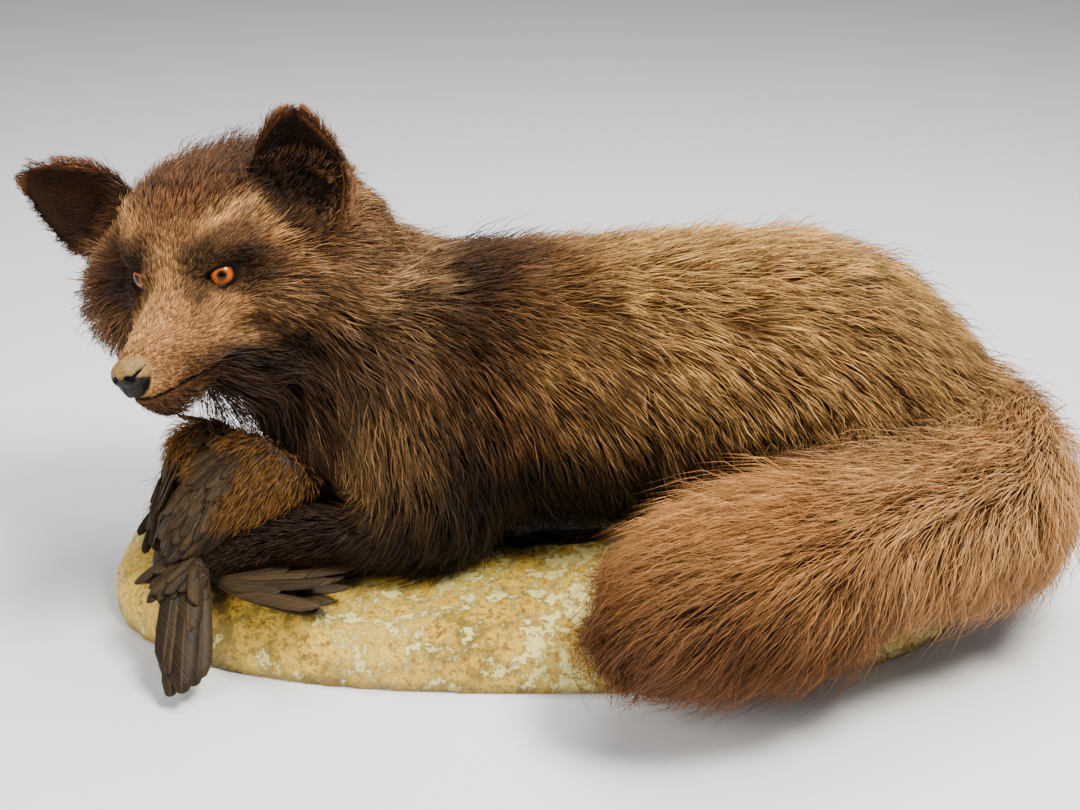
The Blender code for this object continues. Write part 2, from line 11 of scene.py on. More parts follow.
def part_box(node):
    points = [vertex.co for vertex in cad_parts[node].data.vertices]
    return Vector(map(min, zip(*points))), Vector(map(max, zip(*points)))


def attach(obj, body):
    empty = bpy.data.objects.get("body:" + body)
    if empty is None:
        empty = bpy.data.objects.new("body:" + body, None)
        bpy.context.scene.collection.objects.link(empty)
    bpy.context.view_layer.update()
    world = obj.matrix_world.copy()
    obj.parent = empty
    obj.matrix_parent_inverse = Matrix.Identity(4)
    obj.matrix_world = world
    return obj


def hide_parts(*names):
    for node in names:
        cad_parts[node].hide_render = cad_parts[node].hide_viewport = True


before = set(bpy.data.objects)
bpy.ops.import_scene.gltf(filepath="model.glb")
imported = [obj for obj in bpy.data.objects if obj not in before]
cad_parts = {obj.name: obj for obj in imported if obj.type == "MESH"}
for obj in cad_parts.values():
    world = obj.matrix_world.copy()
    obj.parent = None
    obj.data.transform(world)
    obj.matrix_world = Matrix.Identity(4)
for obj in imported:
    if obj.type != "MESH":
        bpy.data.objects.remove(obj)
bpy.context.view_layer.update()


# ------------------------------------------------------------------ plaster base
# An oval slab of cast plaster, rough on top and rounded at the shoulder, coloured with
# thin washes of ochre and olive that leave the high spots white. The fox, the bird and
# the tail are all fixed down on it.
class Tone:
    """A shader socket that adds, multiplies and compares in plain expressions."""

    def __init__(self, tree, socket=None):
        self.tree = tree
        self.socket = socket

    def node(self, kind, settings=None, inputs=None, out=0):
        """Add one node: its settings first, then the values or links of its sockets."""
        made = self.tree.nodes.new("ShaderNode" + kind)
        for name, value in (settings or {}).items():
            if name == "stops":
                stops = made.color_ramp.elements
                while len(stops) < len(value):
                    stops.new(0.5)
                for stop, (place, colour) in zip(stops, value):
                    stop.position = place
                    stop.color = (*colour, 1)
            else:
                setattr(made, name, value)
        for name, value in (inputs or {}).items():
            if isinstance(value, Tone):
                self.tree.links.new(value.socket, made.inputs[name])
            else:
                made.inputs[name].default_value = value
        return Tone(self.tree, made.outputs[out])

    def maths(self, operation, first, second=0.5):
        return self.node("Math", {"operation": operation}, {0: first, 1: second})

    def __add__(self, other):
        return self.maths("ADD", self, other)

    def __sub__(self, other):
        return self.maths("SUBTRACT", self, other)

    def __rsub__(self, other):
        return self.maths("SUBTRACT", other, self)

    def __mul__(self, other):
        return self.maths("MULTIPLY", self, other)

    __radd__ = __add__
    __rmul__ = __mul__

    def over(self, under, share):
        """This colour laid over another by a share from 0 to 1."""
        blend = {"data_type": "RGBA", "clamp_factor": True}
        return self.node("Mix", blend, {0: share, 6: under, 7: self}, out=2)

    def colour(self, red, green, blue):
        """One flat colour of the palette, to be laid over another."""
        made = self.node("RGB")
        made.socket.default_value = (*paint(red, green, blue), 1)
        return made

    def times(self, other):
        """This colour multiplied by another."""
        blend = {"data_type": "RGBA", "blend_type": "MULTIPLY"}
        return self.node("Mix", blend, {0: 1.0, 6: self, 7: other}, out=2)

    def step(self, low, high):
        """A smooth step from 0 at low to 1 at high."""
        between = {"interpolation_type": "SMOOTHSTEP"}
        return self.node("MapRange", between, {"Value": self, "From Min": low, "From Max": high})

    def ramp(self, *stops):
        """Colours by value, each stop a place from 0 to 1 and its colour."""
        return self.node("ValToRGB", {"stops": stops}, {"Fac": self})

    def noise(self, scale, detail=2.0, roughness=0.5):
        """Cloudy noise at these coordinates."""
        return self.node("TexNoise", None, {"Vector": self, "Scale": scale, "Detail": detail,
                                            "Roughness": roughness})


def paint(red, green, blue):
    """A colour as mixed on the palette, 0 to 255, in the renderer's linear light."""
    shades = []
    for value in (red, green, blue):
        share = value / 255
        shades.append(share / 12.92 if share < 0.04045 else ((share + 0.055) / 1.055) ** 2.4)
    return tuple(shades)


def finish_named(name, roughness=0.5, **constants):
    """A new material: its tone maker, its surface node and itself."""
    made = bpy.data.materials.new(name)
    made.use_nodes = True
    surface = made.node_tree.nodes["Principled BSDF"]
    surface.inputs["Roughness"].default_value = roughness
    for socket, value in constants.items():
        surface.inputs[socket.replace("_", " ")].default_value = value
    return Tone(made.node_tree), surface, made


def wire(tone, surface, socket="Base Color"):
    tone.tree.links.new(tone.socket, surface.inputs[socket])


def bump(surface, height, distance, strength=1.0):
    raised = height.node("Bump", None, {"Height": height, "Distance": distance, "Strength": strength})
    wire(raised, surface, "Normal")


def only(piece):
    """Select one piece and nothing else."""
    bpy.ops.object.select_all(action="DESELECT")
    piece.select_set(True)
    bpy.context.view_layer.objects.active = piece


def dress(piece, material):
    """Give a piece its one material and smooth shading."""
    only(piece)
    bpy.ops.object.shade_smooth()
    piece.data.materials.clear()
    piece.data.materials.append(material)


def in_scene(name, data):
    """A new object in the scene, with its mesh, light or camera."""
    made = bpy.data.objects.new(name, data)
    bpy.context.scene.collection.objects.link(made)
    return made


def clay_copy(node, name, swell=0.0):
    """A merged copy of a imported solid, swollen a little where it has to meet its neighbours."""
    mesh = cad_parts[node].data.copy()
    mesh.materials.clear()
    bm = bmesh.new()
    bm.from_mesh(mesh)
    bmesh.ops.remove_doubles(bm, verts=bm.verts, dist=0.00001)
    bm.normal_update()
    for vertex in bm.verts:
        vertex.co += vertex.normal * swell
    bm.to_mesh(mesh)
    bm.free()
    return in_scene(name, mesh)


def modify(piece, kind, **settings):
    """Add a modifier and apply it at once."""
    only(piece)
    made = piece.modifiers.new(kind.lower(), kind)
    for name, value in settings.items():
        setattr(made, name, value)
    bpy.ops.object.modifier_apply(modifier=made.name)


def recast(piece, grain, rounds):
    """Cast a piece anew in one closed skin of the given grain, and rub it smooth."""
    modify(piece, "REMESH", mode="VOXEL", voxel_size=grain)
    modify(piece, "SMOOTH", factor=0.5, iterations=rounds)


def roughen(piece, name, size, octaves, rise, middle, group):
    """Raise and sink the surface by clouds of the given size."""
    clouds = bpy.data.textures.new(name, "CLOUDS")
    clouds.noise_scale = size
    clouds.noise_depth = octaves
    modify(piece, "DISPLACE", texture=clouds, texture_coords="LOCAL", strength=rise, mid_level=middle,
           vertex_group=group)


BASE_GRAIN = 0.0023
PLAIN_EDGE = 0.003           # the foot of the slab is left plain up to this height
ROUGH_RISE = 0.010           # and grows to its full roughness over this much more
base_low, base_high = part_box("base")
base = clay_copy("base", "plaster_base")
recast(base, BASE_GRAIN, 4)
above = base.vertex_groups.new(name="above_the_table")
for vertex in base.data.vertices:
    share = (vertex.co.z - PLAIN_EDGE) / ROUGH_RISE
    above.add([vertex.index], max(0.0, min(1.0, share)), "REPLACE")
roughen(base, "lumps", 0.045, 3, 0.0050, 0.60, "above_the_table")
roughen(base, "grit", 0.008, 2, 0.0026, 0.50, "above_the_table")
for vertex in base.data.vertices:
    vertex.co.z = max(0.0, vertex.co.z)

t, surface, plaster = finish_named("painted_plaster", 0.48)
where = t.node("TexCoord", out=3)
broad = where.noise(16.0, 7.0, 0.66)
patch = where.noise(58.0, 9.0, 0.72)
fleck = where.noise(260.0, 6.0, 0.8)
wash = (broad * 0.45 + fleck * 0.30 + patch * 0.25).ramp(
    (0.36, paint(150, 110, 30)), (0.45, paint(232, 188, 68)), (0.55, paint(252, 214, 92)),
    (0.66, paint(255, 240, 128)))
olive = broad.step(0.56, 0.44) * patch.step(0.44, 0.56)
stained = t.colour(92, 78, 24).over(wash, olive * 0.7)
crust = t.node("TexNoise", {"noise_type": "RIDGED_MULTIFRACTAL"},
               {"Vector": where, "Scale": 95.0, "Detail": 6.0, "Roughness": 0.7})
along = t.node("SeparateXYZ", None, {"Vector": where}, out=0)
mottle = patch * 0.60 + fleck * 0.44 + broad * 0.26 + crust * 0.08
chalk = (mottle + (along + 0.05) * 0.22).step(0.655, 0.700)
whitened = t.colour(255, 240, 152).over(stained, chalk * 0.94)
pits = (patch * 0.50 + fleck * 0.75).step(0.600, 0.520)
pitted = t.colour(112, 70, 24).over(whitened, pits * 0.72)
height = t.node("SeparateXYZ", None, {"Vector": where}, out=2)
rim = (height + fleck * 0.006).step(0.011, 0.005)
wire(t.colour(128, 100, 52).over(pitted, rim * 0.6), surface)
bump(surface, patch * 0.9 + fleck * 0.9 + chalk * 0.4, 0.0030)
dress(base, plaster)
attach(base, "root")
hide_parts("base")


# ------------------------------------------------------------------ skin
# The tanned skin of the fox, drawn over the form in one piece from the nose to the tip
# of the tail, with the ears. It lies under the coat by the coat's depth, and carries
# the same markings, so that the partings between the locks stay dark and warm.
FLESH = ("head", "neck", "trunk", "hindleg_left", "hindleg_right", "foreleg_left", "foreleg_right",
         "forepaw_left", "forepaw_right", "hindpaw_left", "hindpaw_right", "tail_root", "tail_middle",
         "tail_tip", "ear_left", "ear_right")
SKIN_GRAIN = 0.0023
SIDES = (("left", 1), ("right", -1))


def box_middle(node):
    low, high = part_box(node)
    return np.array((low + high) / 2)


def unit(rows):
    rows = np.asarray(rows, float)
    return rows / np.maximum(np.linalg.norm(rows, axis=-1, keepdims=True), 1e-9)


def ease(values, low, high):
    share = np.clip((np.asarray(values, float) - low) / (high - low), 0, 1)
    return share * share * (3 - 2 * share)


def bell(values, middle, width):
    """1 at the middle, falling to nothing about two widths away."""
    return np.exp(-((values - middle) / width) ** 2)


def near(places, middle, radius):
    """1 at one place, falling to nothing about two radii away."""
    return bell(np.linalg.norm(places - middle, axis=1), 0, radius)


eye_middles = {side: box_middle("eye_" + side) for side, _ in SIDES}
EYE_RADIUS = (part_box("eye_left")[1].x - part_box("eye_left")[0].x) / 2
NOSE_DROP = math.radians(20)         # the nose lies this far below the line of sight
brow = (eye_middles["left"] + eye_middles["right"]) / 2
nose_middle = box_middle("nose")
aside = unit(eye_middles["left"] - eye_middles["right"])
to_nose = nose_middle - brow
to_nose = unit(to_nose - aside * (to_nose @ aside))
ahead = to_nose * math.cos(NOSE_DROP) + np.cross(to_nose, aside) * math.sin(NOSE_DROP)
upright = np.cross(ahead, aside)
HEAD_AXES = np.array([ahead, aside, upright])


def in_head(places):
    """Places as ahead of, left of and above the point midway between the eyes."""
    return (np.asarray(places) - brow) @ HEAD_AXES.T


def out_of_head(directions):
    return np.asarray(directions) @ HEAD_AXES


def join(pieces, name):
    """Make several meshes one, under a new name."""
    only(pieces[0])
    for piece in pieces:
        piece.select_set(True)
    bpy.ops.object.join()
    pieces[0].name = name
    return pieces[0]


GAP_FILL = 0.0006            # the solids stand apart by less than twice this
clays = [clay_copy(node, "clay_" + node, GAP_FILL) for node in FLESH]
clays += [clay_copy(node, "clay_" + node) for node in ("eye_left", "eye_right", "nose")]
skin = join(clays, "fox_skin")
modify(skin, "REMESH", mode="VOXEL", voxel_size=SKIN_GRAIN)


def points_of(mesh, what="co"):
    flat = np.empty(len(mesh.vertices) * 3, np.float32)
    mesh.vertices.foreach_get(what, flat)
    return flat.reshape(-1, 3).astype(float)


def put_points(mesh, places):
    mesh.vertices.foreach_set("co", places.astype(np.float32).ravel())
    mesh.update()


def weigh(piece, name, shares, levels=20):
    """A vertex group that holds these shares, each rounded up to one of the levels."""
    group = piece.vertex_groups.new(name=name)
    for level in range(1, levels + 1):
        chosen = np.flatnonzero((shares > (level - 1) / levels) & (shares <= level / levels))
        group.add(chosen.tolist(), level / levels, "REPLACE")


def surface_tree(node):
    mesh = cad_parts[node].data
    faces = [tuple(face.vertices) for face in mesh.polygons]
    return BVHTree.FromPolygons([vertex.co for vertex in mesh.vertices], faces)


flesh_trees = {node: surface_tree(node) for node in FLESH}
FADE = 0.007                 # how softly one part of the body passes into the next
FADED = 0.05                 # farther off than this, a part counts for nothing


def belonging(places):
    """How far each place belongs to each part of the body, as shares that add up to 1."""
    shares = np.zeros((len(places), len(FLESH)))
    for column, node in enumerate(FLESH):
        find = flesh_trees[node].find_nearest
        for row, place in enumerate(places):
            found = find(place, FADED)
            if found[3] is not None:
                shares[row, column] = math.exp(-found[3] / FADE)
    return shares / np.maximum(shares.sum(1, keepdims=True), 1e-9)


def in_face(h, behind, reach):
    """Whether places of the head are forward of this far behind the eyes, and within reach."""
    return (h[:, 0] > -behind) & (np.linalg.norm(h, axis=1) < reach)


# The face is worked finer than the body, and both are smoothed, the ears least.
only(skin)
bpy.ops.object.mode_set(mode="EDIT")
bpy.ops.mesh.select_all(action="DESELECT")
bpy.ops.object.mode_set(mode="OBJECT")
skin.data.vertices.foreach_set("select", in_face(in_head(points_of(skin.data)), 0.026, 0.098))
bpy.ops.object.mode_set(mode="EDIT")
bpy.ops.mesh.select_mode(type="VERT")
for _ in range(2):
    bpy.ops.mesh.subdivide(number_cuts=1, smoothness=0.0)
bpy.ops.object.mode_set(mode="OBJECT")

places = points_of(skin.data)
shares = belonging(places)
part = {node: shares[:, column] for column, node in enumerate(FLESH)}
on_ear = part["ear_left"] + part["ear_right"]
h = in_head(places)
face = ease(h[:, 0], -0.03, -0.01) * (np.linalg.norm(h, axis=1) < 0.1)
weigh(skin, "slack", np.clip(1.02 - 0.95 * on_ear - 0.55 * face, 0.02, 1))
modify(skin, "SMOOTH", factor=0.5, iterations=14, vertex_group="slack")
weigh(skin, "face", np.clip(face * (1 - on_ear), 0, 1))
modify(skin, "SMOOTH", factor=0.5, iterations=16, vertex_group="face")


def face_length(places):
    """Length of the hair on the head: shortest on the nose, longest in the ruff."""
    h = in_head(places)
    length = 0.0042 + 0.0030 * ease(0.055 - h[:, 0], 0.0, 0.035) + 0.005 * ease(-h[:, 2], 0.040, 0.050)
    forehead = ease(-h[:, 0], -0.002, 0.030) * ease(h[:, 2], -0.012, 0.010)
    cheek = ease(np.abs(h[:, 1]), 0.026, 0.060) * ease(0.022 - h[:, 0], 0, 0.030)
    behind = ease(-h[:, 0], 0.030, 0.075)
    under = ease(-h[:, 2], 0.036, 0.066) * ease(0.052 - h[:, 0], 0, 0.040)
    length += 0.0070 * forehead * (1 - 0.5 * behind)
    length += 0.0230 * np.maximum(cheek * ease(0.018 - h[:, 2], 0, 0.03), np.maximum(under, behind * 0.75))
    return length


# Depth of the coat over the skin, part by part; on the head it goes by the hair's length.
COAT_DEPTH = {"neck": 0.015, "trunk": 0.016, "hindleg_left": 0.014, "hindleg_right": 0.014,
              "foreleg_left": 0.0045, "foreleg_right": 0.0045, "forepaw_left": 0.0018,
              "forepaw_right": 0.0018, "hindpaw_left": 0.0022, "hindpaw_right": 0.0022,
              "tail_root": 0.019, "tail_middle": 0.022, "tail_tip": 0.018,
              "ear_left": 0.0008, "ear_right": 0.0008}


def coat_depth(places, part):
    depth = sum(part[node] * value for node, value in COAT_DEPTH.items())
    length = face_length(places)
    return depth + part["head"] * length * (0.24 + 0.16 * ease(length, 0.008, 0.024))


places = points_of(skin.data)
normals = points_of(skin.data, "normal")
edges = np.empty(len(skin.data.edges) * 2, np.int32)
skin.data.edges.foreach_get("vertices", edges)
edges = edges.reshape(-1, 2)
links = np.bincount(edges.ravel(), minlength=len(places)).astype(float)


def relaxed(values, rounds):
    """Values averaged with their neighbours over the skin, several times."""
    values = np.asarray(values, float)
    table = values.reshape(len(values), -1)
    for _ in range(rounds):
        total = np.zeros_like(table)
        for column in range(table.shape[1]):
            total[:, column] = np.bincount(edges[:, 0], table[edges[:, 1], column], len(table))
            total[:, column] += np.bincount(edges[:, 1], table[edges[:, 0], column], len(table))
        table = 0.5 * table + 0.5 * total / links[:, None]
    return table.reshape(values.shape)


def eye_gap(places):
    """How far each place is from the middle of the nearer eye."""
    return np.min([np.linalg.norm(places - middle, axis=1) for middle in eye_middles.values()], axis=0)


THICKEST = 0.2               # no part of the body is thicker than this
START_IN = 0.0004            # rays start this far under the surface, to miss it
THIN_SHARE = 0.32            # on a thin part the coat takes this share of its thickness
outer = BVHTree.FromObject(skin, bpy.context.evaluated_depsgraph_get())
thick = np.full(len(places), THICKEST)
for row in range(len(places)):
    inward = Vector(-normals[row])
    hit = outer.ray_cast(Vector(places[row]) + inward * START_IN, inward, THICKEST)
    if hit[3] is not None:
        thick[row] = hit[3]
depth = np.minimum(coat_depth(places, part), THIN_SHARE * thick)
depth = relaxed(depth, 12) * (0.2 + 0.8 * ease(eye_gap(places), 0.010, 0.020))
inset = places - unit(relaxed(normals, 6)) * depth[:, None]

GLASS = EYE_RADIUS * 0.93    # the glass ball
SET_BACK = 0.0020            # how far it is set back in its socket
LID_WIDE = 1.00              # half the opening of the lids along it, in radians,
LID_UP = 0.46                # above
LID_DOWN = 0.62              # and below


def eye_axes(side):
    """Out of the eye, towards its outer corner, and up, for one eye."""
    sign = 1 if side == "left" else -1
    outward = unit(out_of_head([0.86, 0.50, 0.16] if side == "left" else [0.92, -0.36, 0.16]))
    across = unit(np.cross(upright, outward) * sign)
    rise = unit(np.cross(outward, across)) * sign
    return outward, across, rise


glass_middles = {side: middle - eye_axes(side)[0] * SET_BACK for side, middle in eye_middles.items()}
glass_middles["left"] -= eye_axes("left")[1] * 0.0018 + eye_axes("left")[2] * 0.0010
glass_middles["right"] += eye_axes("right")[1] * 0.0052 - eye_axes("right")[0] * 0.0030


def eye_opening(places, side):
    """How far out from the middle of the lids' opening: 1 at their edge; and the distance."""
    outward, across, rise = eye_axes(side)
    reach = places - glass_middles[side]
    far = np.linalg.norm(reach, axis=1)
    way = reach / np.maximum(far, 1e-9)[:, None]
    turn = np.arccos(np.clip(way @ outward, -1, 1))
    flat = np.hypot(way @ across, way @ rise) + 1e-9
    sideways = turn * (way @ across) / flat
    upward = turn * (way @ rise) / flat
    upward = upward - 0.10 * sideways
    opening = np.hypot(sideways / LID_WIDE, upward / np.where(upward > 0, LID_UP, LID_DOWN))
    return opening, far, way, turn, sideways, upward


def sculpt_face(places, outwards):
    """Brows, lids round the glass eyes, the chin and the closed lips."""
    places = places.copy()
    for side, sign in SIDES:
        middle = eye_middles[side]
        ridge = middle + out_of_head([-0.002, 0.003 * sign, 0.0135])
        corner = middle + out_of_head([0.007, -0.009 * sign, -0.003])
        bridge = middle + out_of_head([0.010, -0.0125 * sign, 0.005])
        push = 0.0030 * near(places, ridge, 0.0080)
        push -= 0.0014 * near(places, corner, 0.0050)
        push += (0.0012 if side == "left" else 0.0052) * near(places, bridge, 0.0075)
        places += outwards * push[:, None]
        opening, far, way, turn, _, upward = eye_opening(places, side)
        roll = 0.0005 + 0.0009 * ease(opening, 1.0, 1.25) + 0.0007 * ease(upward, 0.1, 0.5)
        lid = GLASS + roll
        natural = ease(opening, 1.2, 2.1)
        wanted = np.where(opening < 1.0, GLASS - 0.0014, lid * (1 - natural) + far * natural)
        lids = (far < EYE_RADIUS * 2.4) & (turn < 1.8)
        places[lids] = glass_middles[side] + way[lids] * wanted[lids][:, None]
    h = in_head(places)
    chin = along_line(h, ((0.050, 0, -0.049), (0.034, 0, -0.054), (0.012, 0, -0.061),
                          (-0.006, 0, -0.070)), 0.0160)
    fullness = (0.0075 + 0.0115 * ease(0.030 - h[:, 0], 0, 0.02)) * chin * ease(-h[:, 2], 0.040, 0.047)
    places += outwards * fullness[:, None]
    groove = 0.0014 * bell(lip_line(h), 0, 0.0011) * lip_zone(h)
    lower = 0.0008 * bell(lip_line(h), -0.0028, 0.0016) * lip_zone(h)
    return places + outwards * (lower - groove)[:, None]


def lip_line(h):
    """Height above the closed lips."""
    return h[:, 2] + 0.0412 - 0.0035 * ((h[:, 0] - 0.018) / 0.05) ** 2


def lip_zone(h):
    return ease(h[:, 0], 0.004, 0.014) * (np.abs(h[:, 2] + 0.04) < 0.03)


def along_line(h, stops, radius):
    """1 on a line through a few places of the head, fading to nothing two radii away."""
    gap = np.ones(len(h))
    for first, last in zip(stops[:-1], stops[1:]):
        first, reach = np.array(first), np.array(last) - np.array(first)
        share = np.clip((h - first) @ reach / (reach @ reach), 0, 1)
        gap = np.minimum(gap, np.linalg.norm(h - first - share[:, None] * reach, axis=1))
    return bell(gap, 0, radius)


def before_ear(places, radius):
    """The hollow in the side of the head in front of the near ear."""
    return along_line(in_head(places), ((-0.044, 0.034, 0.032), (-0.043, 0.059, 0.013)), radius)


def ear_frame(node):
    """Root, length, and the directions up, across and out of the hollow of one ear."""
    mesh = points_of(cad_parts[node].data)
    skull = brow - ahead * 0.06
    far = np.linalg.norm(mesh - skull, axis=1)
    root, tip = mesh[far < np.percentile(far, 12)].mean(0), mesh[np.argmax(far)]
    rise = unit(tip - root)
    flat = mesh - mesh.mean(0)
    flat -= (flat @ rise)[:, None] * rise
    hollow = np.linalg.svd(flat, full_matrices=False)[2][1]
    hollow *= np.sign(hollow @ ahead)
    across = np.cross(rise, hollow)
    up = (mesh - root) @ rise / np.linalg.norm(tip - root)
    side = (mesh - root) @ across
    bands = np.linspace(0, 1, 9)
    low = np.array([side[np.abs(up - band) < 0.12].min() for band in bands])
    high = np.array([side[np.abs(up - band) < 0.12].max() for band in bands])
    return root, np.linalg.norm(tip - root), rise, across, hollow, bands, low, high


ear_frames = {node: ear_frame(node) for node in ("ear_left", "ear_right")}


def ear_pit(node, places, radius):
    """1 in the deepest place of one ear's hollow, down at its root."""
    root, _, rise, _, hollow = ear_frames[node][:5]
    return near(places, root + hollow * 0.016 + rise * 0.012, radius)


def ear_zones(node, places, outwards):
    """For one ear: how far each place is in its hollow, and how far it is on its rim."""
    root, tall, rise, across, hollow, bands, low, high = ear_frames[node]
    up = (places - root) @ rise / tall
    side = (places - root) @ across
    first, last = np.interp(up, bands, low), np.interp(up, bands, high)
    edge = np.minimum(side - first, last - side - (0.0085 if node == "ear_left" else 0.0))
    edge = np.minimum(edge, (1.0 - up) * tall)
    front = ease(outwards @ hollow, -0.1, 0.35)
    inside = front * ease(edge, 0.0022, 0.0060) * ease(up, -0.3, 0.0)
    rim = ease(0.0060 - edge, 0.0, 0.004) * ease(up, 0.0, 0.2)
    return inside, rim


put_points(skin.data, inset)
outwards = points_of(skin.data, "normal")
sculpted = sculpt_face(inset, outwards)
for node in ear_frames:
    inside, _ = ear_zones(node, sculpted, outwards)
    dip = 0.0065 * ear_pit(node, sculpted, 0.015) * (1 - part[node])
    sculpted -= outwards * dip[:, None]
    sculpted -= ear_frames[node][4] * (0.0026 * inside * part[node])[:, None]
sculpted -= outwards * (0.0050 * before_ear(sculpted, 0.010) * (1 - part["ear_left"]))[:, None]
put_points(skin.data, sculpted)


# ------------------------------------------------------------------ lie and markings
# Which way the hair lies at each place, how long it grows, and what colour it has at the
# root and at the tip: a dark form of the red fox, with golden tips along the rear back.
places = points_of(skin.data)
normals = unit(relaxed(points_of(skin.data, "normal"), 3))
shares = relaxed(shares, 2)
part = {node: shares[:, column] for column, node in enumerate(FLESH)}
trunk_low, trunk_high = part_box("trunk")
TAIL = ("tail_root", "tail_middle", "tail_tip")
tail_stops = [box_middle(node) for node in TAIL]


def down_the_side(places):
    """0 along the top of the back and 1 at the lowest line of the belly."""
    return np.clip((trunk_high.z - places[:, 2]) / (trunk_high.z - trunk_low.z), 0, 1)


def flat_on_skin(ways):
    """The part of each direction that lies along the skin."""
    return ways - normals * (ways * normals).sum(1)[:, None]


def lie_of_coat(places, part):
    """The direction in which the hair lies, flat on the skin."""
    down = np.array([0.0, 0.0, -1.0])
    count = len(places)
    h = in_head(places)
    low = down_the_side(places)
    shoulder = ease(-places[:, 0], -0.03, 0.07)

    from_nose = unit(h - np.array([0.088, 0, -0.024]))
    cheek = ease(np.abs(h[:, 1]), 0.022, 0.05) * ease(-h[:, 2], -0.030, 0.010)
    behind = ease(-h[:, 0], 0.02, 0.07)
    head = from_nose + np.array([0, 0, -0.75]) * cheek[:, None]
    lie = {"head": out_of_head(head + np.array([-0.7, 0, -0.25]) * behind[:, None])}
    lie["neck"] = np.stack([0.95 - 0.5 * low, 0 * low, -0.15 - 1.1 * ease(low, 0.05, 0.5)], 1)
    slant = 12 + 66 * ease(low, -0.05, 0.75) + 14 * shoulder * ease(low, 0.05, 0.4)
    slant *= 0.06 + 0.94 * ease(1 - normals[:, 2], 0.0, 0.16)
    slant = np.radians(np.minimum(slant + 16 * ease(places[:, 0], 0.12, 0.24) * ease(low, 0.0, 0.3), 86))
    aslope = np.stack([0 * low, 0.3 * np.sign(places[:, 1] - box_middle("trunk")[1]), -np.ones(count)], 1)
    backwards, downwards = unit(flat_on_skin(np.array([[1.0, 0, 0]]))), unit(flat_on_skin(aslope))
    lie["trunk"] = backwards * np.cos(slant)[:, None] + downwards * np.sin(slant)[:, None]
    for side, _ in SIDES:
        lie["hindleg_" + side] = lie["trunk"] + down * 0.3
        lie["foreleg_" + side] = np.tile([-1.0, 0.0, -0.25], (count, 1))
        lie["forepaw_" + side] = np.tile([-1.0, 0.0, -0.35], (count, 1))
        lie["hindpaw_" + side] = np.tile([-1.0, 0.0, -0.3], (count, 1))
        root, tall, rise, across, _, bands, low_edge, high_edge = ear_frames["ear_" + side]
        middle = np.interp((places - root) @ rise / tall, bands, (low_edge + high_edge) / 2)
        spread_out = np.clip(((places - root) @ across - middle) / 0.012, -1, 1)
        lie["ear_" + side] = rise + across * (0.55 * spread_out)[:, None]
    first = unit(tail_stops[1] - tail_stops[0])
    last = unit(tail_stops[2] - tail_stops[1])
    drape = ease(0.94 - normals[:, 2], 0.0, 0.66)
    drape = drape[:, None]
    lie["tail_root"] = first * (1 - 0.6 * drape) + down * (0.30 + 1.1 * drape)
    lie["tail_middle"] = (first * 0.2 + last * 0.8) * (1 - 0.72 * drape) + down * (1.3 * drape)
    lie["tail_tip"] = last * (1 - 0.35 * drape) + down * (0.75 * drape)
    return unit(flat_on_skin(sum(unit(lie[node]) * part[node][:, None] for node in FLESH)))


def ripple(places, size, seed):
    """A soft mottle between -1 and 1 with patches of about the given size."""
    draw = np.random.default_rng(seed)
    total = np.zeros(len(places))
    for _ in range(6):
        way = unit(draw.normal(size=3)) / size * draw.uniform(0.7, 1.6)
        total += np.sin(places @ way * 3.1 + draw.uniform(0, 6.3))
    return total / 3.0


# Root and tip colours of the hair.
HAIR = {
    "soot": (paint(14, 8, 4), paint(30, 18, 10)),
    "umber": (paint(34, 19, 8), paint(88, 54, 26)),
    "rufous": (paint(66, 36, 14), paint(152, 94, 44)),
    "tan": (paint(140, 88, 46), paint(255, 203, 134)),
    "golden": (paint(92, 52, 21), paint(255, 206, 126)),
    "brush": (paint(142, 87, 46), paint(188, 126, 72)),
    "grizzle": (paint(104, 70, 42), paint(232, 186, 130)),
}


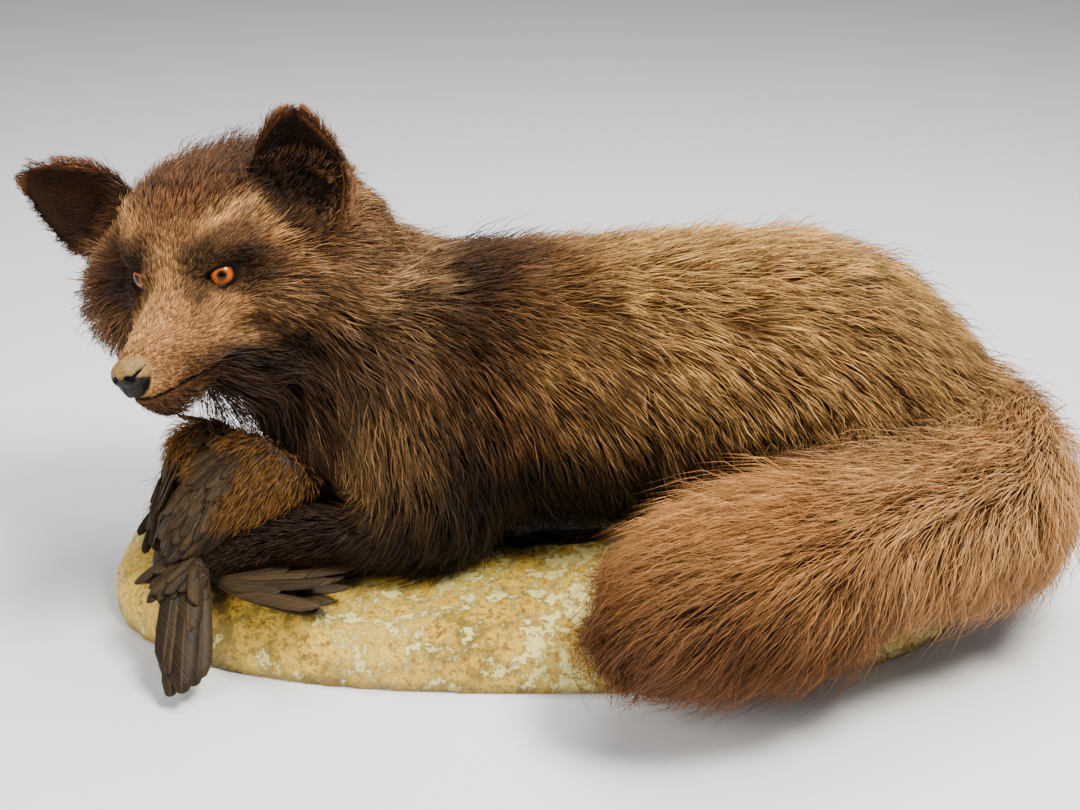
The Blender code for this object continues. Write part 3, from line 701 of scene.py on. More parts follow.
def markings(places, part):
    """Colours of the hair at its root and at its tip, for each place on the body, with painted shade in the
    eye sockets, in the ears' hollows and before the near ear.
    """
    h = in_head(places)
    low = down_the_side(places)
    along = places[:, 0] + 0.02 * ripple(places, 0.03, 5)
    body = part["trunk"] + part["hindleg_left"] + part["hindleg_right"]
    legs = sum(part[node] for node in FLESH if "foreleg" in node or "paw" in node)
    tail = sum(part[node] for node in TAIL)
    rear = ease(along, -0.06, 0.07)
    high = 1 - ease(low, 0.29, 0.57)
    amount = {name: np.zeros(len(places)) for name in HAIR}
    amount["golden"] += body * (0.12 + 0.88 * rear) * high
    amount["rufous"] += body * (1 - rear) * high * ease(along, -0.10, -0.01) * 0.9
    amount["umber"] += body * (1 - rear) * (0.45 + 1.1 * low) + body * rear * (1 - high) * 1.3
    amount["soot"] += body * (ease(low, 0.40, 0.62) * 3.4 + ease(low, 0.58, 0.78) * 5.0)
    patchy = places[:, 0] + 0.007 * ripple(places, 0.014, 8)
    withers = bell(patchy, -0.060, 0.029) * (1 - ease(low, 0.06, 0.34))
    amount["soot"] += (body + part["neck"]) * withers * 2.4
    shoulder = bell(places[:, 0], -0.062, 0.034) * ease(low, 0.10, 0.30) * (1 - ease(low, 0.80, 0.95))
    amount["soot"] += body * shoulder * 0.7
    amount["umber"] += legs * 0.7
    amount["soot"] += legs * 2.1
    breast = np.exp(-((places[:, 0] + 0.098) / 0.026) ** 2 - ((places[:, 2] - 0.118) / 0.028) ** 2)
    amount["golden"] += (body + part["neck"] + legs) * breast * (places[:, 1] < 0) * 1.9

    nape = (1 - ease(low, 0.10, 0.46)) * (1 - 0.6 * ease(places[:, 1], 0.010, 0.050))
    amount["grizzle"] += part["neck"] * (0.4 + 4.0 * nape) * ease(-patchy, 0.070, 0.100)
    amount["rufous"] += part["neck"] * 0.35
    amount["umber"] += part["neck"] * (1 - nape) * 1.5

    right = ease(places[:, 0], 0.15, 0.22)
    under = ease(0.106 - places[:, 2], 0.0, 0.026) * (1 - 0.66 * right)
    crest = ease(places[:, 2], 0.080, 0.100)
    amount["brush"] += tail * (1 - 0.9 * under)
    amount["golden"] += tail * crest * (0.45 + 0.35 * right)
    amount["grizzle"] += tail * right * 1.5 * (1 - under)
    amount["rufous"] += tail * (under * 1.4 + 0.15)
    amount["umber"] += tail * (under * 1.4 + 0.5 * ease(0.075 - places[:, 0], 0.0, 0.04))
    amount["soot"] += tail * under * 0.6

    head = part["head"]
    pale, dusk, dark_marks_and_socket_shade = np.zeros((3, len(places)))
    for sign, stretch in ((1, 1.0), (-1, 1.35)):
        side = h * np.array([1, sign / stretch, 1])
        pale += 1.0 * along_line(side, ((-0.006, 0.020, 0.024), (-0.026, 0.033, 0.022)), 0.0047)
        pale += 1.3 * along_line(side, ((-0.026, 0.033, 0.022), (-0.020, 0.045, 0.012),
                                        (-0.012, 0.053, -0.002)), 0.0045)
        pale += 1.0 * along_line(side, ((0.026, 0.026, -0.023), (0.013, 0.029, -0.034)), 0.0055)
        # Dark round each eye: the tear line and the corner of the mouth are the fox's own marks; the band
        # under the brow and the broad dark round the eye are painted shadow of the brow and painted shade in
        # the socket.
        dark_marks_and_socket_shade += 1.5 * along_line(side, ((0.011, 0.016, 0.010), (0.006, 0.027, 0.010),
                                        (-0.002, 0.040, 0.002)), 0.0066)
        dark_marks_and_socket_shade += 1.3 * along_line(side, ((0.016, 0.013, 0.001), (0.023, 0.017, -0.007)), 0.0046)
        dark_marks_and_socket_shade += 1.0 * near(side, (0, 0.0257, 0), 0.0120)
        dark_marks_and_socket_shade += 1.3 * near(side, (0.0140, 0.023, -0.043), 0.0055)
        dusk += along_line(side, ((-0.044, 0.030, 0.016), (-0.043, 0.050, 0.000)), 0.0100)
        dusk += 0.8 * along_line(side, ((-0.044, 0.060, 0.008), (-0.040, 0.070, -0.010)), 0.0080)
        dusk += 0.9 * along_line(side, ((0.006, 0.009, 0.022), (0.012, 0.011, 0.012),
                                        (0.024, 0.012, 0.000)), 0.0048)
        dusk += 0.4 * along_line(side, ((0.044, 0.016, -0.031), (0.020, 0.026, -0.036)), 0.0060)
    far_side = h[:, 1] < -0.040
    pale += 1.4 * far_side * along_line(h, ((-0.044, -0.062, 0.018), (-0.038, -0.074, 0.010),
                                            (-0.026, -0.074, 0.002)), 0.0070)
    # Painted shade in and around the far eye's socket.
    dark_marks_and_socket_shade += 1.6 * far_side * along_line(h, ((0.000, -0.040, -0.001), (-0.012, -0.058, -0.002)), 0.0095)
    dark_marks_and_socket_shade += 1.5 * along_line(h, ((0.010, -0.022, 0.008), (0.003, -0.036, 0.004),
                                 (0.006, -0.034, -0.008)), 0.0080)
    bridge = ease(h[:, 0], -0.004, 0.022) * ease(h[:, 2], -0.040, -0.026)
    cheekbone = bridge * ease(np.abs(h[:, 1]), 0.010, 0.019) * ease(-h[:, 2], 0.010, 0.026)
    bridge = bridge - 0.55 * cheekbone
    forehead = ease(h[:, 2], 0.010, 0.024) * ease(h[:, 0], -0.06, -0.02)
    jaw = ease(-h[:, 2], 0.037, 0.047)
    back = ease(-h[:, 0], 0.022, 0.055)
    crown = ease(h[:, 2], 0.008, 0.026) * ease(-h[:, 0], 0.004, 0.028)
    crown = crown * (1 - ease(np.abs(h[:, 1]), 0.014, 0.030))
    ruff = ease(h[:, 1], 0.060, 0.074) * ease(h[:, 2], -0.060, -0.034) * ease(-h[:, 0], 0.018, 0.034)
    near_cheek = ease(h[:, 1], 0.036, 0.046) * ease(-h[:, 2], 0.000, 0.014) * ease(h[:, 2], -0.052, -0.036)
    far_cheek = ease(-h[:, 1], 0.040, 0.055) * ease(-h[:, 2], 0.010, 0.022) * ease(h[:, 0], -0.045, -0.025)
    poll = back * (1 - ease(h[:, 2], 0.0, 0.04)) * (1 - ruff)
    amount["tan"] += head * (pale * 5.0 + bridge * 1.5)
    amount["brush"] += head * 0.30 * bridge
    amount["grizzle"] += head * (0.10 * forehead + 4.6 * ruff + 0.18 + 1.3 * far_cheek + 0.8 * near_cheek)
    amount["rufous"] += head * (0.60 + 0.50 * forehead + 0.5 * crown + 0.8 * far_cheek)
    amount["umber"] += head * (0.34 + 0.7 * poll + 2.8 * crown + 2.4 * dusk + 0.5 * cheekbone
                               + 2.6 * jaw * ease(h[:, 0], 0.004, 0.020))
    amount["soot"] += head * (dark_marks_and_socket_shade * 7.0 + jaw * (5.0 - 4.0 * ease(h[:, 0], 0.004, 0.020)))
    # Painted shade: near black in the hollow before the near ear and in a short line running back from its
    # top.
    amount["soot"] += 12.0 * before_ear(places, 0.014) * ease(h[:, 0], -0.060, -0.050)
    amount["soot"] += 16.0 * along_line(h, ((-0.045, 0.034, 0.032), (-0.051, 0.045, 0.028)), 0.0080)
    # The hollow of each ear is its dark skin deepened with painted shade, far more in the near ear than in
    # the far one.
    for node in ear_frames:
        inside, rim = ear_zones(node, places, normals)
        amount["soot"] += part[node] * (0.30 + (22.0 if node == "ear_left" else 5.0) * inside)
        reverse = ease(-(normals @ ear_frames[node][4]), 0.5, 0.95)
        amount["soot"] += part[node] * 1.6 * reverse
        amount["umber"] += part[node] * 0.6
        amount["rufous"] += part[node] * (0.5 + (6.5 if node == "ear_left" else 3.6) * rim * (1 - reverse))
    for name in HAIR:
        amount[name] *= np.exp(0.45 * ripple(places, 0.012, len(name)))
    total = sum(amount.values())[:, None] + 1e-6
    return [sum(amount[name][:, None] * np.array(HAIR[name][end]) for name in HAIR) / total for end in (0, 1)]


lie = unit(relaxed(lie_of_coat(places, part), 8))
root_colour, tip_colour = markings(places, part)


def mark(mesh, name, values, kind="FLOAT_COLOR", field="color"):
    """Write values on the points of a mesh, for its material to read."""
    if field == "color":
        values = np.c_[values, np.ones(len(values))]
    made = mesh.attributes.new(name, kind, "POINT")
    made.data.foreach_set(field, np.asarray(values, np.float32).ravel())


# Bare, dark skin on the lips, the edges of the lids and round the nose pad, with a pale grey
# painted highlight along each lower lid.
h = in_head(places)
bare = bell(lip_line(h), 0, 0.0021) * lip_zone(h) * part["head"]
lid_highlight = np.zeros(len(places))
for side in eye_middles:
    opening, far, _, _, sideways, upward = eye_opening(places, side)
    close = far < EYE_RADIUS * 1.6
    bare = np.maximum(bare, (1 - ease(opening, 1.20, 1.60)) * close)
    lid_highlight += bell(opening, 1.06, 0.07) * close * ease(-upward, 0.0, 0.3) * ease(-sideways, -0.3, 0.3)
nose_gap = np.linalg.norm((h - in_head(nose_middle[None])) / np.array([0.0112, 0.0128, 0.0125]), axis=1)
bare = np.clip(np.maximum(bare, 1 - ease(nose_gap, 0.84, 0.95)), 0, 1)
short = ease(0.014 - face_length(places), 0.0, 0.007) * part["head"]
share = (0.12 + 0.48 * short)[:, None]
pelt = root_colour * (1 - share) + tip_colour * share
pelt = pelt * (1 - bare[:, None]) + np.array(paint(12, 8, 7)) * bare[:, None]
# A painted highlight: a thin pale grey line laid over the colour along each lower lid.
lid_highlight = np.clip(lid_highlight, 0, 1)[:, None] * 0.22
pelt = pelt * (1 - lid_highlight) + np.array(paint(120, 122, 118)) * lid_highlight
mark(skin.data, "pelt", pelt)

t, surface, hide = finish_named("fox_hide", 0.9, Specular_IOR_Level=0.12)
grain = t.node("TexCoord", out=3).noise(900.0, 3.0)
shadow = grain.ramp((0.3, (0.6, 0.6, 0.6)), (0.7, (1.15, 1.15, 1.15)))
wire(t.node("Attribute", {"attribute_name": "pelt"}).times(shadow), surface)
bump(surface, grain, 0.0005, 0.8)
dress(skin, hide)
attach(skin, "root")
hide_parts(*FLESH)


# ------------------------------------------------------------------ coat
# Thousands of tapered locks over the skin, each a closed sliver of hair that rises from
# its root, bends over and lies along the body, drawn together at the tips into clumps.
COAT = {
    # part: length, tufts, half width at the root, share drawn together
    "trunk": (0.035, 37500, 0.00029, 0.50),
    "hindleg_left": (0.034, 4600, 0.00030, 0.50),
    "hindleg_right": (0.034, 3000, 0.00032, 0.45),
    "neck": (0.036, 11500, 0.00029, 0.45),
    "tail_root": (0.042, 7800, 0.00023, 0.28),
    "tail_middle": (0.046, 17000, 0.00022, 0.28),
    "tail_tip": (0.043, 11800, 0.00022, 0.28),
    "head": (0.000, 38500, 0.00018, 0.38),
    "foreleg_left": (0.015, 3800, 0.00026, 0.35),
    "foreleg_right": (0.015, 2000, 0.00028, 0.35),
    "forepaw_left": (0.007, 2000, 0.00024, 0.25),
    "forepaw_right": (0.007, 1100, 0.00026, 0.25),
    "hindpaw_left": (0.007, 1100, 0.00026, 0.25),
    "hindpaw_right": (0.007, 900, 0.00026, 0.25),
    "ear_left": (0.0075, 3900, 0.00020, 0.25),
    "ear_right": (0.0075, 3400, 0.00020, 0.25),
}
STOPS = np.array([0.0, 0.62, 1.0])      # places along a tuft, from its root to its tip
LONG_HAIR = 0.016            # hair longer than this is coloured as the long coat
MOST_IN_A_PIECE = 14500      # tufts in one piece of the coat
CLUMP = 12                   # tufts to each one that leads, on the fox
DOWN_CLUMP = 14              # and on the bird
PATTERN_SHARE = 0.03         # share of the skin's faces kept in its unwrapped pattern
OVAL = 2.5                   # how square the oval of the plaster is
CLEAR = 0.0015               # how far the hair stays above plaster and table


def tree_of(places):
    """A tree that finds the nearest of these places."""
    tree = KDTree(len(places))
    for row, place in enumerate(places):
        tree.insert(place, row)
    tree.balance()
    return tree


skin.data.calc_loop_triangles()
corners = np.empty(len(skin.data.loop_triangles) * 3, np.int32)
skin.data.loop_triangles.foreach_get("vertices", corners)
corners = corners.reshape(-1, 3)
first, second, third = (places[corners[:, k]] for k in range(3))
areas = np.linalg.norm(np.cross(second - first, third - first), axis=1) / 2
roots_tree = tree_of(places)

# A coarse copy of the skin is unwrapped, and each tuft takes its own place on that map.
pattern = skin.copy()
pattern.data = skin.data.copy()
for key in list(pattern.keys()):
    del pattern[key]
pattern.parent = None
bpy.context.scene.collection.objects.link(pattern)
modify(pattern, "DECIMATE", ratio=PATTERN_SHARE)
only(pattern)
bpy.ops.object.mode_set(mode="EDIT")
bpy.ops.mesh.select_all(action="SELECT")
bpy.ops.uv.smart_project(angle_limit=math.radians(66), island_margin=0.006)
bpy.ops.object.mode_set(mode="OBJECT")
pattern.data.calc_loop_triangles()
cut_points = points_of(pattern.data)
cut_uv = np.empty(len(pattern.data.loops) * 2, np.float32)
pattern.data.uv_layers.active.data.foreach_get("uv", cut_uv)
cut_uv = cut_uv.reshape(-1, 2)
cut_corners = np.array([tuple(tri.vertices) for tri in pattern.data.loop_triangles])
cut_loops = np.array([tuple(tri.loops) for tri in pattern.data.loop_triangles])
cut_tree = BVHTree.FromPolygons(cut_points.tolist(), cut_corners.tolist())
bpy.data.objects.remove(pattern)


def on_pattern(places):
    """Where each place falls on the unwrapped skin."""
    hits = [cut_tree.find_nearest(place) for place in places]
    which = np.array([hit[2] for hit in hits])
    spot = np.array([tuple(hit[0]) for hit in hits])
    a, b, c = (cut_points[cut_corners[which, k]] for k in range(3))
    ab, ac, ap = b - a, c - a, spot - a
    d00, d01, d11 = (ab * ab).sum(1), (ab * ac).sum(1), (ac * ac).sum(1)
    d20, d21 = (ap * ab).sum(1), (ap * ac).sum(1)
    under = np.maximum(d00 * d11 - d01 * d01, 1e-18)
    v = np.clip((d11 * d20 - d01 * d21) / under, 0, 1)
    w = np.clip((d00 * d21 - d01 * d20) / under, 0, 1)
    uv = [cut_uv[cut_loops[which, k]] for k in range(3)]
    return uv[0] * (1 - v - w)[:, None] + uv[1] * v[:, None] + uv[2] * w[:, None]


def scatter(weights, count, draw):
    """Random places on the skin, more of them where the weights are high."""
    chance = areas * weights[corners].mean(1)
    picked = draw.choice(len(corners), count, p=chance / chance.sum())
    u, v = draw.random(count), draw.random(count)
    turned = u + v > 1
    u[turned], v[turned] = 1 - u[turned], 1 - v[turned]
    mix = np.stack([1 - u - v, u, v], 1)
    return corners[picked], mix


def spread(values, picked, mix):
    values = np.asarray(values, float)
    if values.ndim == 1:
        return (values[picked] * mix).sum(1)
    return (values[picked] * mix[:, :, None]).sum(1)


def on_base(places):
    """Height of the plaster under each place, or of the table beside it."""
    half = (base_high - base_low) / 2
    middle = (base_high + base_low) / 2
    out = np.abs((places[:, 0] - middle.x) / half.x) ** OVAL
    out += np.abs((places[:, 1] - middle.y) / half.y) ** OVAL
    shoulder = np.clip((1 - out) * 6, 0, 1) ** 0.5
    return np.where(out < 1, base_high.z * shoulder, 0.0) + CLEAR


def kept_up(paths):
    """Paths lifted where they would sink into the plaster or the table."""
    paths[:, :, 2] = np.maximum(paths[:, :, 2], on_base(paths.reshape(-1, 3)).reshape(paths.shape[:2]))
    return paths


def comb(root, rise, way, length, height, draw):
    """March each hair along the skin; returns its places from root to tip."""
    path = [root]
    here, heading, lift = root, way, rise
    bow = draw.normal(0, 0.16, len(root))
    for before, stop in zip(STOPS[:-1], STOPS[1:]):
        stride = length * (stop - before)
        step = heading + np.cross(lift, heading) * (bow * stop)[:, None]
        guess = here + unit(step) * stride[:, None]
        nearest = np.array([roots_tree.find(place)[1] for place in guess])
        ground, lift = places[nearest], normals[nearest]
        over = ((guess - ground) * lift).sum(1)
        tall = height * (1 - (1 - stop) ** 1.8)
        here = guess + lift * (tall - over)[:, None]
        turned = lie[nearest] * 0.55 + heading * 0.45
        heading = unit(turned - lift * (turned * lift).sum(1)[:, None])
        path.append(here)
    return np.stack(path, 1)


def tuft_mesh(name, path, lift, half_width, root_shade, tip_shade, uv, fade):
    """Closed three-sided slivers along the paths, as one mesh."""
    count, steps = path.shape[:2]
    rings = steps - 1
    way = unit(np.gradient(path, axis=1))
    cross = unit(np.cross(way, lift[:, None, :]))
    over = np.cross(cross, way)
    angle = np.radians([90, 210, 330])[:, None]
    thin = half_width[:, None] * np.interp(STOPS[:-1], (0, 0.6, 1), (0.75, 1.05, 0.3))[None, :]
    across, above = cross[:, :rings, None, :], over[:, :rings, None, :]
    ring = path[:, :rings, None, :] + thin[:, :, None, None] * (np.cos(angle) * across
                                                                + 0.6 * np.sin(angle) * above)
    body = np.concatenate([ring.reshape(count, rings * 3, 3), path[:, -1:, :]], 1)
    per = rings * 3 + 1
    quads, patch = [], []
    for r in range(rings - 1):
        for k in range(3):
            n = (k + 1) % 3
            quads.append((r * 3 + k, r * 3 + n, r * 3 + 3 + n, r * 3 + 3 + k))
            patch.append(((k, r), (k + 1, r), (k + 1, r + 1), (k, r + 1)))
    last = (rings - 1) * 3
    tris = [(0, 2, 1)]
    tri_patch = [((0, 0), (2, 0), (1, 0))]
    for k in range(3):
        tris.append((last + k, last + (k + 1) % 3, per - 1))
        tri_patch.append(((k, rings - 1), (k + 1, rings - 1), (k + 0.5, rings)))
    loop = np.array([v for face in quads for v in face] + [v for face in tris for v in face])
    grid = np.array([c for face in patch for c in face] + [c for face in tri_patch for c in face], float)
    sizes = np.array([4] * len(quads) + [3] * len(tris))
    starts = np.concatenate([[0], np.cumsum(sizes)[:-1]])
    tufts = np.arange(count)[:, None]
    mesh = bpy.data.meshes.new(name)
    mesh.vertices.add(count * per)
    mesh.vertices.foreach_set("co", body.astype(np.float32).ravel())
    mesh.loops.add(count * len(loop))
    mesh.loops.foreach_set("vertex_index", (loop + per * tufts).astype(np.int32).ravel())
    mesh.polygons.add(count * len(sizes))
    mesh.polygons.foreach_set("loop_start", (starts + len(loop) * tufts).astype(np.int32).ravel())
    mesh.polygons.foreach_set("use_smooth", np.ones(count * len(sizes), bool))
    mesh.update(calc_edges=True)
    layer = mesh.uv_layers.new(name="OFBake")
    offsets = (grid / np.array([3.0, rings]) - 0.5) * 0.003
    layer.data.foreach_set("uv", np.clip(uv[:, None, :] + offsets, 0.0005, 0.9995).astype(np.float32).ravel())
    share = np.concatenate([np.repeat(STOPS[:-1], 3), [1.0]])
    share = share[None, :] ** fade[:, None]
    shade = root_shade[:, None, :] * (1 - share[:, :, None]) + tip_shade[:, None, :] * share[:, :, None]
    mark(mesh, "pelt", shade.reshape(-1, 3))
    return mesh


def shade_of_hair(name, roughness):
    t, surface, made = finish_named(name, roughness, Specular_IOR_Level=0.30)
    mottle = t.node("TexCoord", out=3).noise(240.0)
    shadow = mottle.ramp((0.25, (0.74, 0.70, 0.66)), (0.75, (1.24, 1.22, 1.18)))
    wire(t.node("Attribute", {"attribute_name": "pelt"}).times(shadow), surface)
    wire(mottle * 0.2 + (roughness - 0.1), surface, "Roughness")
    return made


body_hair = shade_of_hair("guard_hair", 0.56)
brush_hair = shade_of_hair("brush_hair", 0.62)
hairless = np.clip(np.maximum(bare * 1.3, 0.92 * before_ear(places, 0.010)), 0, 1)
for node in ear_frames:
    hairless = np.maximum(hairless, 0.84 * ear_zones(node, places, normals)[0] * part[node])
length_map = sum(part[node] * COAT[node][0] for node in FLESH) + part["head"] * face_length(places)
length_map *= 0.38 + 0.62 * ease(eye_gap(places), EYE_RADIUS, EYE_RADIUS + 0.012)
for node in ear_frames:
    length_map *= 1 - 0.55 * ear_pit(node, places, 0.014) * (1 - part[node])
length_map *= 1 - 0.62 * before_ear(places, 0.016)
length_map *= 1 + 0.45 * part["head"] * ease(h[:, 2], 0.018, 0.032) * ease(-h[:, 0], 0.000, 0.020)
length_map *= 1 + 0.50 * part["head"] * ease(-h[:, 2], 0.046, 0.056) * ease(0.050 - h[:, 0], 0, 0.015)
length_map *= 1 + part["trunk"] * (0.22 * ease(down_the_side(places), 0.3, 0.8) - 0.10)
skin_depth = np.maximum(np.minimum(coat_depth(places, part), np.maximum(depth, 0.0010)), 0.0007)
for node in ear_frames:
    inside, rim = ear_zones(node, places, normals)
    skin_depth += part[node] * (0.0006 + 0.0034 * rim) * (1 - inside)
    length_map += part[node] * (0.0030 * rim - 0.0030 * inside)
tail_share = sum(part[node] for node in TAIL)
top_of_back = ease(places[:, 2], trunk_high.z - 0.030, trunk_high.z - 0.006)
crest = bell(places[:, 0], -0.040, 0.016) * top_of_back * (part["trunk"] + part["neck"])
crest += 0.8 * part["head"] * ease(h[:, 2], 0.018, 0.032) * ease(-h[:, 0], 0.000, 0.020)
under_chin = ease(-h[:, 2], 0.040, 0.054) * ease(0.062 - h[:, 0], 0, 0.010) * ease(h[:, 0], 0.0, 0.02)
crest += 1.1 * part["head"] * under_chin
wave = ripple(places, 0.016, 31)
swing = ripple(places, 0.022, 47)


def nearest_leader(roots, leaders):
    """For each tuft, the one of the leading tufts that its tip is drawn to."""
    tree = tree_of(roots[leaders])
    return leaders[np.array([tree.find(place)[1] for place in roots])]


def grow_coat(node, count, half_width, drawn, seed):
    """All the tufts of one part of the body, in pieces of a workable size."""
    draw = np.random.default_rng(seed)
    weights = np.where(part[node] > 0.5, 1.0, part[node] * 1.2) * (1 - hairless)
    if node == "head":
        weights = weights * (0.010 / np.maximum(length_map, 0.003)) ** 0.75
    picked, mix = scatter(weights, count, draw)
    root = spread(places, picked, mix)
    rise = unit(spread(normals, picked, mix))
    way = unit(spread(lie, picked, mix))
    side = np.cross(rise, way)
    fluff = spread(tail_share, picked, mix)
    turn = draw.normal(0, 1, count) * (0.15 + 0.13 * fluff) + 0.16 * spread(swing, picked, mix)
    way = unit(way + side * turn[:, None])
    standing = spread(crest, picked, mix)
    length = spread(length_map, picked, mix) * np.clip(draw.normal(1.0, 0.20, count), 0.5, 1.6)
    length *= 1 + 0.12 * spread(wave, picked, mix)
    height = spread(skin_depth, picked, mix) * np.clip(draw.normal(0.88, 0.20, count), 0.25, 1.35)
    height *= 1 + 0.16 * spread(wave, picked, mix) + 0.9 * standing
    stray = draw.random(count) < 0.05 + 0.06 * fluff + 0.25 * standing
    height = np.where(stray, height * 1.40 + 0.0008, height)
    height = np.minimum(height, length * np.where(stray, 0.75, 0.65))
    path = comb(root, rise, way, length, height, draw)
    mine = nearest_leader(root, draw.choice(count, max(8, count // CLUMP), replace=False))
    pull = drawn * draw.uniform(0.2, 1.5, count)[mine] * (~stray)
    gather = np.clip(pull[:, None] * STOPS ** 1.4, 0, 0.9)[:, :, None]
    offset = (root - root[mine])[:, None, :] * 0.15
    path = kept_up(path * (1 - gather) + (path[mine] + offset) * gather)
    width = half_width * np.clip(draw.normal(1, 0.22, count), 0.6, 1.6)
    if node == "head":
        width *= np.clip((length / 0.012) ** 0.5, 0.75, 1.35)
    uneven = 1 - 0.62 * fluff
    tone = 1 + uneven * (draw.normal(0, 0.17, count) + draw.normal(0, 0.15, count)[mine])
    tone = np.clip(tone, 0.45, 1.7)
    root_shade = spread(root_colour, picked, mix) * tone[:, None]
    tip_shade = spread(tip_colour, picked, mix) * tone[:, None]
    long = length > LONG_HAIR
    brown = draw.random(count) < np.where(long, 0.46 - 0.30 * fluff, 0.36)
    browner = np.where(long, draw.uniform(0.20, 0.55, count) + 0.28 * fluff, draw.uniform(0.26, 0.66, count))
    tip_shade[brown] *= browner[brown, None]
    fade = np.where(long, draw.uniform(1.4, 3.2, count) - 1.1 * fluff, draw.uniform(0.6, 1.6, count))
    uv = on_pattern(root)
    order = np.argsort(root[:, 0] if "tail" not in node else root[:, 2])
    pieces = math.ceil(count / MOST_IN_A_PIECE)
    for number, chosen in enumerate(np.array_split(order, pieces), 1):
        name = "coat_" + node + (f"_{number}" if pieces > 1 else "")
        mesh = tuft_mesh(name, path[chosen], rise[chosen], width[chosen], root_shade[chosen],
                         tip_shade[chosen], uv[chosen], fade[chosen])
        piece = in_scene(name, mesh)
        mesh.materials.append(brush_hair if "tail" in node else body_hair)
        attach(piece, "root")
        "tail_coat" if "tail" in node else "coat"


for seed, (node, (_, count, half_width, drawn)) in enumerate(COAT.items()):
    grow_coat(node, count, half_width, drawn, 100 + seed)


def thin_skin(name, chosen, triangles_left):
    """Merge the skin's faces at the chosen places until about this many are left in all."""
    skin.data.calc_loop_triangles()
    weigh(skin, name, chosen.astype(float))
    modify(skin, "DECIMATE", ratio=triangles_left / len(skin.data.loop_triangles), vertex_group=name)


# The coat hides the skin's finest facets, so they are merged now that it has grown: under
# the long coat first, then, less, on the face.
FACE_BEHIND = 0.020          # the face: forward of this far behind the eyes,
FACE_REACH = 0.090           # and no farther from them than this
THINNED_BODY = 290000        # triangles left once the body is thinned,
THINNED_ALL = 190000         # and once the face is as well
off_ears = part["ear_left"] + part["ear_right"] < 0.3
thin_skin("under_long_coat", ~in_face(h, FACE_BEHIND, FACE_REACH) & off_ears, THINNED_BODY)
h = in_head(points_of(skin.data))
thin_skin("under_short_coat", in_face(h, FACE_BEHIND, FACE_REACH), THINNED_ALL)


# ------------------------------------------------------------------ glass eyes
# Blown glass eyes with an amber iris and a round dark pupil, painted from behind and set
# in the sockets, so that the clear front bulges a little over the iris.
t, surface, glass = finish_named("amber_glass", 0.10, Coat_Weight=0.25, Coat_Roughness=0.02, IOR=1.24)
ring = t.node("Attribute", {"attribute_name": "ring"}, out=2)
spoke = t.node("Attribute", {"attribute_name": "spoke"})
amber = spoke.noise(9.0, 4.0, 0.7).ramp((0.25, paint(84, 36, 12)), (0.50, paint(158, 80, 28)),
                                        (0.75, paint(212, 130, 58)))
pupil = ring.ramp((0.0, (0, 0, 0)), (0.20, (0.01, 0.005, 0.01)), (0.32, (0.12, 0.07, 0.05)),
                  (0.46, (0.85, 0.8, 0.8)), (0.62, (1.1, 1.05, 0.95)), (0.78, (0.42, 0.32, 0.26)),
                  (0.88, (0.03, 0.02, 0.02)), (1.0, (0.01, 0.01, 0.01)))
wire(amber.times(pupil), surface)
IRIS = GLASS * 0.78          # radius of the iris
IRIS_EDGE = 0.88             # where its dark edge lies on the ramp of colours
CORNEA_RISE = 0.0004         # the clear front stands this much proud of the ball,
CORNEA = 0.0052              # out to about this radius
for side, middle in glass_middles.items():
    outward, across, rise = eye_axes(side)
    bpy.ops.object.select_all(action="DESELECT")
    bpy.ops.mesh.primitive_uv_sphere_add(segments=64, ring_count=48, radius=GLASS)
    eye = bpy.context.active_object
    eye.name = "glass_eye_" + side
    turn = Matrix((across, rise, outward)).transposed().to_4x4()
    ball = points_of(eye.data)
    radial = np.hypot(ball[:, 0], ball[:, 1])
    front = ball[:, 2] > 0
    ball[:, 2] += CORNEA_RISE * np.exp(-(radial / CORNEA) ** 4) * front
    put_points(eye.data, ball)
    mark(eye.data, "ring", np.where(front, radial / IRIS * IRIS_EDGE, 1.0), "FLOAT", "value")
    turned = np.arctan2(ball[:, 1], ball[:, 0])
    fan = np.stack([np.cos(turned) * 2, np.sin(turned) * 2, radial / IRIS * 0.4], 1)
    mark(eye.data, "spoke", fan, "FLOAT_VECTOR", "vector")
    eye.data.transform(Matrix.Translation(Vector(middle)) @ turn)
    dress(eye, glass)
    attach(eye, "root")
    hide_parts("eye_" + side)


# ------------------------------------------------------------------ nose leather
# The nose pad, of modelled wax over the dried leather: pebbled, dull olive grey on top
# and black below, with two comma-shaped nostrils and a groove down the middle.
nose = clay_copy("nose", "nose_leather", 0.0002)
NOSE_GRAIN = 0.0007
recast(nose, NOSE_GRAIN, 10)
pad = points_of(nose.data)
out = points_of(nose.data, "normal")
q = in_head(pad) - in_head(nose_middle[None])
nostril = np.zeros(len(q))
for sign in (1, -1):
    beside = q[:, 1] * sign
    hole = np.hypot((beside - 0.0046) / 0.0029, (q[:, 2] - 0.0030 + 0.25 * (beside - 0.004)) / 0.0021)
    nostril += (1 - ease(hole, 0.65, 1.15)) * (q[:, 0] > 0.0)
    slit = np.hypot((beside - 0.0082) / 0.0028, (q[:, 2] - 0.0042 - 0.70 * (beside - 0.0082)) / 0.0012)
    nostril += 0.9 * (1 - ease(slit, 0.6, 1.2)) * (q[:, 0] > -0.004)
nostril = np.clip(nostril, 0, 1)
groove = bell(q[:, 1], 0, 0.0007) * ease(-q[:, 2], -0.003, 0.002)
pad -= out * (0.0024 * nostril + 0.0007 * groove)[:, None]
put_points(nose.data, pad)
top = ease(q[:, 2] - 0.36 * np.maximum(q[:, 0], 0) + 0.0005 * ripple(pad, 0.004, 3), -0.0008, 0.0012)
wax = np.array(paint(15, 11, 10)) * (1 - top[:, None]) + np.array(paint(146, 116, 68)) * top[:, None]
wax *= (1 + 0.18 * ripple(pad, 0.003, 9))[:, None]
